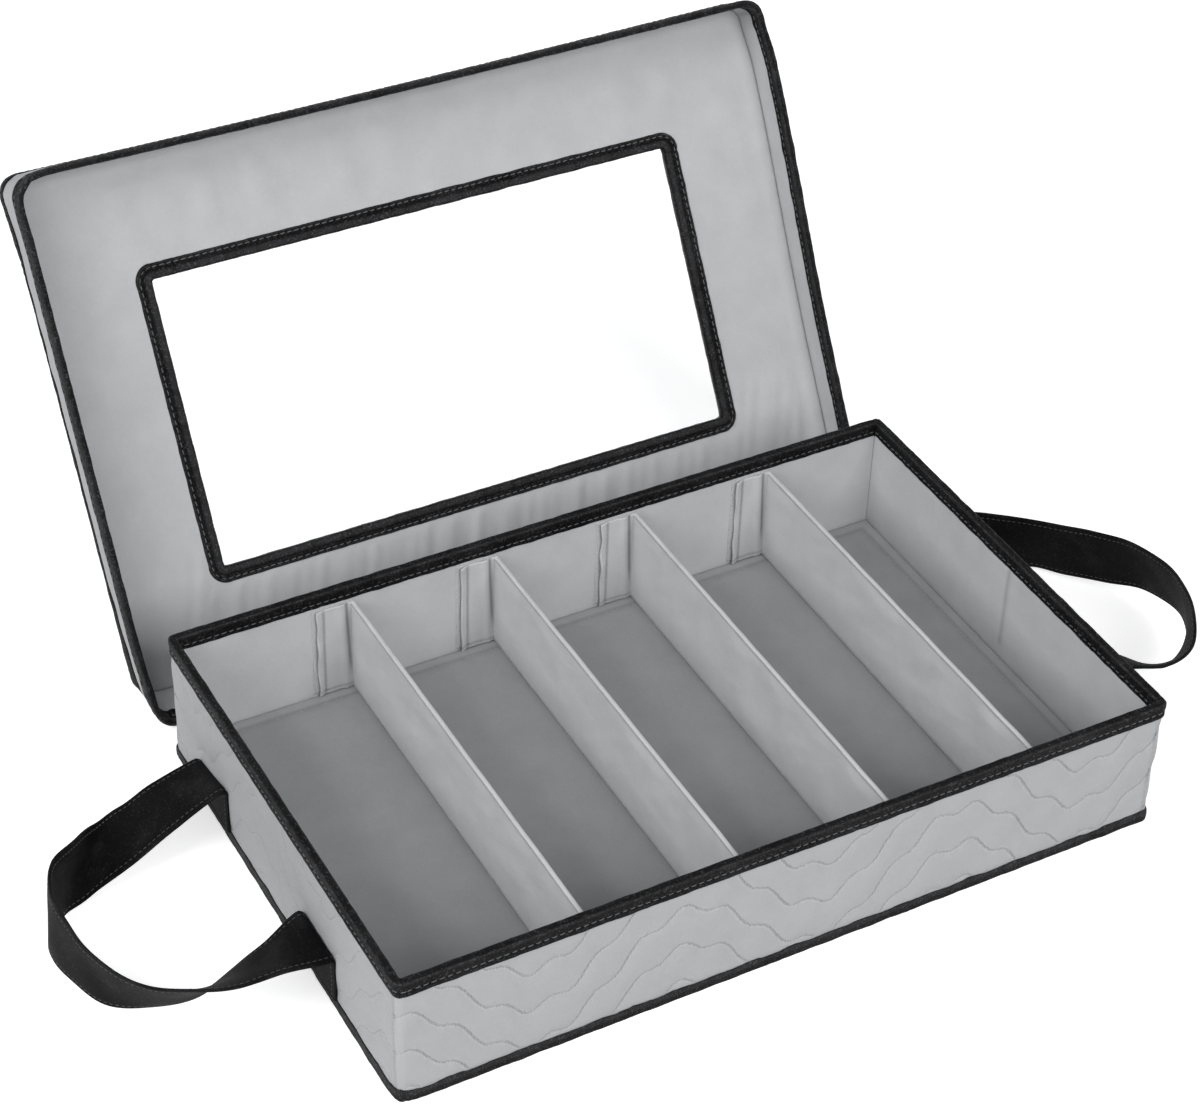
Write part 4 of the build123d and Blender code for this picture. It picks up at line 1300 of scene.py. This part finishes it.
def liningRelief(x, y):
    # Seen face of the panel: soft waves towards the case, calm over the rim and beside the window,
    # and gathered below the window. Along its outer edge a thin line of painted shade stands for the crease.
    user, away = panelUser, fromWindow(x, y)
    overRim = np.maximum(softStep(np.abs(x), *user["calmX"]), softStep(np.abs(y), *user["calmY"]))
    soft = np.clip(0.5 + 0.5 * ripples(x, y, user["waveSize"], 501, 12), 0, 1.3) * user["wave"]
    small = ripples(x, y, user["smallSize"], 502) * user["small"]
    folds = wobble(x, user["foldSize"], 503) * band(-y, *user["foldBand"]) * user["folds"]
    gathers = 0.5 + 0.5 * wobble(x + 0.3 * y, user["gatherSize"], 504)
    gathers = gathers * softStep(away, *user["gatherOut"]) * softStep(y, *user["gatherBack"])
    wave = (soft + small + folds) * softStep(away, *user["calmOut"]) + gathers * user["gathers"]
    wave = np.clip(wave * (1 - overRim) + user["rest"], 0.0, user["most"])
    return -wave, {"press": hump(fromRim(x, y, lidUser["skirtInner"]), user["pressWidth"])}


def coverRelief(x, y):
    # Outer face of the lid: quilted like the walls, along the lid's length.
    user = coverUser
    relief, rows, lean = quiltRelief(x + user["start"], y, user["round"])
    inside = softStep(fromRim(x, y, lidUser["skirtOuter"]), *user["rim"])
    inside = inside * softStep(fromWindow(x, y), *user["window"])
    marks = {"press": 0 * x, "rows": rows, "lean": lean + 0 * x, "quilted": inside}
    return np.clip(relief, *user["relief"]) * inside, marks


skirtUser = {"wave": 0.18, "waveSize": 30.0, "pucker": 0.3, "puckerSize": 4.5, "puckerWidth": 9.0,
             "rest": 0.22, "calmLow": (63.5, 66.5), "seamTop": 79.0, "seamAt": 1.5, "seamWidth": 0.8,
             "seamDepth": 0.5, "seamTone": 0.7,
             "slip": {"left": (210, 216), "rear": 1.0, "along": 2.8, "alongBand": (-140, 80), "low": 5.2,
                      "lowBand": (80, 132), "bumps": 0.9, "bumpSize": 30.0, "others": -1.8}}


def seamSlip(loop):
    # How far the seam tape's lower edge has slipped down the skirt: most on the lower left side.
    slip = skirtUser["slip"]
    x, y = loop["point"].T
    onLeft = softStep(-x, *slip["left"])
    bumps = wobble(loop["place"], slip["bumpSize"], 553, loop["total"]) * slip["bumps"]
    slipped = slip["rear"] - slip["along"] * softStep(y, *slip["alongBand"])
    slipped = slipped - slip["low"] * softStep(y, *slip["lowBand"]) + bumps
    return (onLeft * slipped + slip["others"] * (1 - onLeft))[:, None]


def skirtLayer(name, inner, outer, top, material, word, seed, seenInside):
    # One layer of the skirt as a ring: waved on its seen face, puckered and seamed at the corners.
    user = skirtUser
    loop = roundedLoop(halfX, halfY, corner, 2.0, 10)
    way, total = loop["place"][:, None], loop["total"]
    height = np.linspace(lidUser["foot"], top, 24)[None, :]
    waves = ripples(way, height, user["waveSize"], seed, 14, total) * user["wave"]
    pucker = humps(way, caseCorners, user["puckerWidth"]) * wobble(way, user["puckerSize"], seed + 1, total)
    seam = humps(way, caseCorners + user["seamAt"], user["seamWidth"])
    upper = top - 1.5 if seenInside else user["seamTop"] + seamSlip(loop)
    inside = band(height, *user["calmLow"], upper - 3.0, upper - 0.5)
    relief = (waves + pucker * user["pucker"] + user["rest"] - user["seamDepth"] * seam) * inside
    # painted shade darkens the corner seams, and on the lining the crease along its top where it meets the
    # panel
    press = seam * inside * user["seamTone"]
    if seenInside:
        block = clothRing(loop, inner - np.clip(relief, -0.2, 0.75), outer, height)
        press = np.maximum(press, hump(height - top, 0.9))
    else:
        block = clothRing(loop, outer + np.clip(relief, -0.2, 0.6), inner, height)
    press = np.concatenate([press, 0 * press], 1)
    piece = placePiece(name, block, material, "lid", {"press": press}, openLid)
    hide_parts(*(f"lid_skirt_{word}_{side}" for side in sides))
    total * 0.001


lidEdge = {"outer": [(6.45, 64.5), (6.95, 64.3), (7.08, 63.2), (7.0, 62.2), (6.86, 61.6), (7.0, 61.0),
                     (7.1, 59.4), (7.08, 57.6), (6.9, 56.5), (6.3, 56.05), (5.2, 56.2), (4.1, 56.02),
                     (3.5, 56.45), (3.3, 57.5), (3.32, 59.4), (3.4, 61.0), (3.54, 61.6), (3.4, 62.2),
                     (3.3, 63.2), (3.42, 64.3), (3.9, 64.5)],
           "inner": [(4.0, 63.0), (4.0, 56.8), (5.2, 56.8), (6.4, 56.8), (6.4, 63.0)],
           "wearAndSheenAt": (8, 9, 12, 13), "stitch": (6.92, 61.6), "stitchInside": (3.46, 61.6),
           "gathered": ((2.2, 7.0, 3.5), (1.6, -5.0, 2.5), (-1.5, 0.0, 1.5))}
lidSeam = {"outer": [(6.45, 76.9), (6.95, 77.2), (7.08, 78.4), (6.96, 79.6), (7.1, 80.5), (6.94, 81.4),
                     (7.1, 82.2), (7.15, 83.0), (6.95, 83.9), (6.3, 84.4), (4.6, 84.5), (2.9, 84.4),
                     (2.2, 84.28), (1.4, 84.42), (0.2, 84.42), (-0.4, 84.2), (-0.6, 83.9)],
           "inner": [(0.0, 83.84), (3.0, 83.84), (6.2, 83.84), (6.42, 83.6), (6.42, 82.0), (6.42, 77.8)],
           "wearAndSheenAt": (8, 9), "stitch": (7.0, 81.4)}
windowInner = {"outer": [(8.6, 80.38), (8.56, 79.95), (8.1, 79.7), (7.3, 79.66), (6.6, 79.82), (6.0, 79.66),
                         (5.3, 79.7), (4.7, 80.05), (4.2, 79.6), (3.3, 79.15), (2.2, 78.95), (1.1, 79.05),
                         (0.3, 79.5), (-0.1, 80.2), (0.0, 81.2), (0.05, 82.3)],
               "inner": [(0.6, 82.3), (0.6, 80.42), (4.0, 80.42), (7.9, 80.42)], "wearAndSheenAt": (2, 9, 10, 11),
               "stitch": (6.6, 79.76)}
windowOuter = {"outer": [(0.0, 82.85), (0.0, 83.8), (0.3, 84.5), (1.2, 84.8), (2.1, 84.55), (2.6, 84.25),
                         (3.2, 84.4), (4.6, 84.46), (5.3, 84.34), (6.0, 84.46), (7.2, 84.42), (7.9, 84.2),
                         (8.0, 83.85)],
               "inner": [(7.5, 83.82), (4.0, 83.82), (0.6, 83.82), (0.6, 82.9)], "wearAndSheenAt": (3, 4),
               "stitch": (5.3, 84.4)}


def makeLid(user):
    # Three layers of panel, two of skirt, and four tapes with their stitches.
    panelLayer("lidLining", user["skirtInner"], user["panelLow"], user["liningTop"], liningRelief,
               liningCloth, "lid_lining", 40)
    panelLayer("lidBoard", user["boardOut"], user["liningTop"], user["boardTop"], flatRelief,
               pressedBoard, "lid_board", 14, False)
    panelLayer("lidCover", user["skirtOuter"], user["coverTop"], user["boardTop"], coverRelief,
               quiltedCloth, "lid_cover", 48)
    skirtLayer("skirtLining", user["skirtInner"], user["skirtMiddle"], user["panelLow"], liningCloth,
               "lining", 521, True)
    skirtLayer("skirtCover", user["skirtMiddle"], user["skirtOuter"], user["boardTop"], outerCloth,
               "cover", 531, False)
    loop = roundedLoop(halfX, halfY, corner, 2.0, 12)
    way = loop["place"][:, None]
    gathered = sum(high * humps(way, caseCorners + beside, wide)
                   for high, beside, wide in lidEdge["gathered"])
    tapeRing("lidEdgeBinding", lidEdge, loop, "lid", "lid_edge_tape", 541, caseCorners, openLid,
             endShift=gathered)
    tapeRing("lidSeamBinding", lidSeam, loop, "lid", "lid_seam_tape", 551, caseCorners, openLid, fold=0.2,
             startShift=seamSlip(loop))
    window = roundedLoop(*windowLoop, 2.0, 12, user["windowMiddle"])
    for name, shape, node, seed in (("windowBindingInner", windowInner, "window_tape_inner", 561),
                                    ("windowBindingOuter", windowOuter, "window_tape_outer", 571)):
        tapeRing(name, shape, window, "lid", node, seed, windowCorners, openLid, wave=0.12, fold=0.3)
    rows = ((loop, lidEdge["stitch"], (1, 0)), (loop, lidEdge["stitchInside"], (-1, 0)),
            (loop, lidSeam["stitch"], (1, 0)), (window, windowInner["stitch"], (0, -1)),
            (window, windowOuter["stitch"], (0, 1)))
    stitches = [ringStitches(ring, *spot, face) for ring, spot, face in rows]
    placePiece("lidStitches", stitches, blackThread, "lid", None, openLid)


makeLid(lidUser)
print("lid made")
